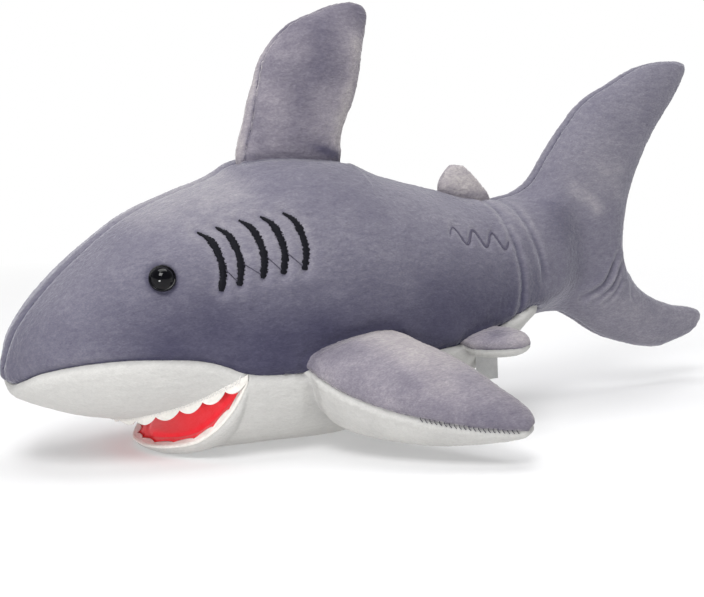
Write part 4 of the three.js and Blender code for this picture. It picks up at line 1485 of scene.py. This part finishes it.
# ---------- seam stitches ----------
def dashes(points, normals, pitch, length, radius):
    """Short stitches that come up out of a seam at even steps."""
    step = np.r_[0, np.cumsum(np.linalg.norm(np.diff(points, axis=0), axis=1))]
    made = []
    for start in np.arange(pitch / 2, step[-1] - pitch, pitch):
        at = start + length * np.linspace(0, 1, 5)
        q = np.stack([np.interp(at, step, points[:, k]) for k in range(3)], 1)
        n = np.stack([np.interp(at, step, normals[:, k]) for k in range(3)], 1)
        bow = np.sin(math.pi * np.linspace(0, 1, 5))
        made.append(tube(q + n * (0.55 * bow - 0.35)[:, None], n, radius * (0.6 + 0.4 * bow), radius, 6))
    return made


def top_line(xs):
    """The middle seam along the back, on the finished skin."""
    p = np.stack([xs, np.zeros(len(xs)), lookup(body_table, xs, 1)], 1)
    p = settle(skin_field, p, 4)
    p[:, 1] = 0
    normals = normals_of(skin_field, p)
    return p + body_relief(p)[0][:, None] * normals, normals


stitches = []
for xs in (np.r_[-312.5 + 30 * np.linspace(0, 1, 60, endpoint=False) ** 2, np.linspace(-282, -142, 120)],
           np.linspace(-50, 30, 60), np.linspace(90, 140, 40)):
    stitches += dashes(*top_line(xs), 4.2, 2.6, 0.42)
back_stitches = piece("back_seam_stitches", *joined(stitches), dark_thread, "thread_grey")
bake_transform(back_stitches)


# ---------- eyes ----------
EYE_PROFILE = [(0, 8.0), (1.5, 7.9), (3.2, 7.45), (4.8, 6.7), (6.1, 5.6), (7.0, 4.5), (7.5, 3.75), (7.75, 3.45),
               (8.0, 3.4), (8.4, 3.5), (8.8, 3.3), (9.05, 2.7), (9.1, 2.0), (8.9, 1.2), (8.3, 0.7), (7.0, 0.5),
               (2.6, 0.4), (2.5, 0), (2.5, -8), (0, -8)]


def turned(profile, centre, axis, segments=72):
    axis = axis / np.linalg.norm(axis)
    side = np.cross(axis, (0, 0, 1.0))
    side /= np.linalg.norm(side)
    other = np.cross(axis, side)
    angles = 2 * math.pi * np.arange(segments) / segments
    ring = np.cos(angles)[:, None] * side + np.sin(angles)[:, None] * other
    rows = [centre + h * axis + max(r, 0.001) * ring for r, h in profile]
    verts = np.vstack(rows)
    faces = grid_faces(len(profile), segments, closed=True)
    verts, faces = welded(verts, faces, 0.01)
    if (mesh_normals(verts, faces) * (verts - centre)).sum() < 0:
        faces = [f[::-1] for f in faces]
    return verts, faces


for side, name in ((-1, "left"), (1, "right")):
    centre, out = on_flank(np.array([EYE[0]]), np.array([EYE[1]]), side)
    verts, faces = turned(smooth_table(EYE_PROFILE, 5)[:, :2], centre[0] + 0.9 * out[0], out[0])
    eye = piece(f"eye_dome_{name}", verts, faces, eye_plastic, "eye_black")
    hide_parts(f"eye_{name}", f"eye_washer_{name}")
    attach(eye, "torso")


# ---------- label ----------
label_low, label_high = node_box("care_label")
LABEL_ROWS, LABEL_COLUMNS = 29, 33
TAPE_THICKNESS = 0.4


def label_sheet():
    across, down = np.meshgrid(np.linspace(0, 1, LABEL_COLUMNS), np.linspace(0, 1, LABEL_ROWS))
    x = label_low[0] + (label_high[0] - label_low[0]) * across
    z = label_high[2] + 2 - (label_high[2] - label_low[2] + 2) * down
    middle = (label_low[1] + label_high[1]) / 2
    y = middle - 1.6 * np.sin(1.7 * down) * down - 0.9 * np.sin(5.0 * across + 0.6) * down**1.5
    rows = np.stack([x, y, z], -1)
    return rows.reshape(-1, 3), grid_faces(*rows.shape[:2])


verts, faces = label_sheet()
tape_normals = mesh_normals(verts, faces)
tape_back = verts - TAPE_THICKNESS * tape_normals
folded, folded_faces = walled(verts, tape_back, faces, LABEL_ROWS, LABEL_COLUMNS, True)
label = piece("blank_label", folded, folded_faces, label_tape, "label_satin")
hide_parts("care_label")
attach(label, "label")


# ---------- floor, light and camera ----------
FLOOR_RADIUS = 2.6      # metres
FLOOR_LEVEL = -0.3      # millimetres, just clear of the belly


def stage_floor():
    """A pale round floor that grows into the white of the background away from the toy. It glows: faintly near the
    toy, painted light that lightens the toy's shadow, and fully white far off.
    """
    rings, spokes = 40, 96
    radius = FLOOR_RADIUS / MM * np.linspace(0.0005, 1, rings) ** 1.5
    angle = 2 * math.pi * np.arange(spokes) / spokes
    level = np.full((rings, spokes), FLOOR_LEVEL)
    verts = np.stack([np.outer(radius, np.cos(angle)), np.outer(radius, np.sin(angle)), level], -1)
    mesh = bpy.data.meshes.new("floor")
    mesh.from_pydata((verts.reshape(-1, 3) * MM).tolist(), [], grid_faces(rings, spokes, closed=True))
    material, tree, bsdf = shader("studio_floor")
    n = Nodes(tree)
    place = tree.nodes.new("ShaderNodeNewGeometry").outputs["Position"]
    length = tree.nodes.new("ShaderNodeVectorMath")
    length.operation = "LENGTH"
    n.link(place, length.inputs[0])
    away = n.math("MULTIPLY", length.outputs["Value"], 0.5)
    floor_glow = n.ramp(away, [(0.20, (0.3, 0.3, 0.3, 1)), (0.60, (1, 1, 1, 1))])
    n.link(n.mix(floor_glow, (0.86, 0.86, 0.865, 1), (0, 0, 0, 1)), bsdf.inputs["Base Color"])
    # painted light: the floor's glow, faint near the toy and white far off
    n.link(floor_glow, bsdf.inputs["Emission Color"])
    bsdf.inputs["Emission Strength"].default_value = 1.0
    bsdf.inputs["Roughness"].default_value = 0.95
    bsdf.inputs["Specular IOR Level"].default_value = 0.0
    mesh.materials.append(material)
    obj = bpy.data.objects.new("floor", mesh)
    bpy.context.scene.collection.objects.link(obj)


def area_light(name, place, target, size, power):
    data = bpy.data.lights.new(name, "AREA")
    data.shape = "RECTANGLE"
    data.size, data.size_y = size
    data.energy = power
    obj = bpy.data.objects.new(name, data)
    obj.location = place
    obj.rotation_mode = "QUATERNION"
    obj.rotation_quaternion = (Vector(target) - Vector(place)).to_track_quat("-Z", "Y")
    bpy.context.scene.collection.objects.link(obj)


stage_floor()
area_light("key", (-0.85, -0.95, 1.6), (-0.05, 0, 0.12), (0.8, 0.8), 23)
area_light("top", (0.0, 0.15, 1.6), (0, 0, 0.1), (1.4, 1.0), 16)
area_light("rim", (1.2, 0.9, 0.9), (0.1, 0, 0.15), (0.8, 1.0), 7)
area_light("fill", (-1.0, -0.95, 0.12), (-0.2, -0.05, 0.05), (0.3, 0.2), 6.0)
area_light("glint", (-0.98, -0.80, 0.02), (-0.2, -0.05, 0.12), (0.035, 0.035), 0.3)

world = bpy.data.worlds.new("studio")
world.use_nodes = True
sky = Nodes(world.node_tree)
direction = world.node_tree.nodes.new("ShaderNodeTexCoord").outputs["Generated"]
height = world.node_tree.nodes.new("ShaderNodeSeparateXYZ")
sky.link(direction, height.inputs[0])
band = sky.ramp(height.outputs["Z"], [(0.10, (1, 1, 1, 1)), (0.24, (0.20, 0.20, 0.21, 1))])
sky.link(band, world.node_tree.nodes["Background"].inputs["Color"])
world.node_tree.nodes["Background"].inputs["Strength"].default_value = 1.0
bpy.context.scene.world = world
bpy.context.scene.view_settings.view_transform = "Standard"

CAMERA_AZIMUTH, CAMERA_ELEVATION, CAMERA_DISTANCE = math.radians(-30), math.radians(8), 1.045
camera_data = bpy.data.cameras.new("camera")
camera_data.lens = 70
camera_data.sensor_width = 36
camera = bpy.data.objects.new("camera", camera_data)
back = Vector((math.sin(CAMERA_AZIMUTH) * math.cos(CAMERA_ELEVATION),
               -math.cos(CAMERA_AZIMUTH) * math.cos(CAMERA_ELEVATION), math.sin(CAMERA_ELEVATION)))
camera.location = Vector((-0.043, 0, 0.096)) + back * CAMERA_DISTANCE
camera.rotation_mode = "QUATERNION"
camera.rotation_quaternion = (-back).to_track_quat("-Z", "Y")
bpy.context.scene.collection.objects.link(camera)
bpy.context.scene.camera = camera
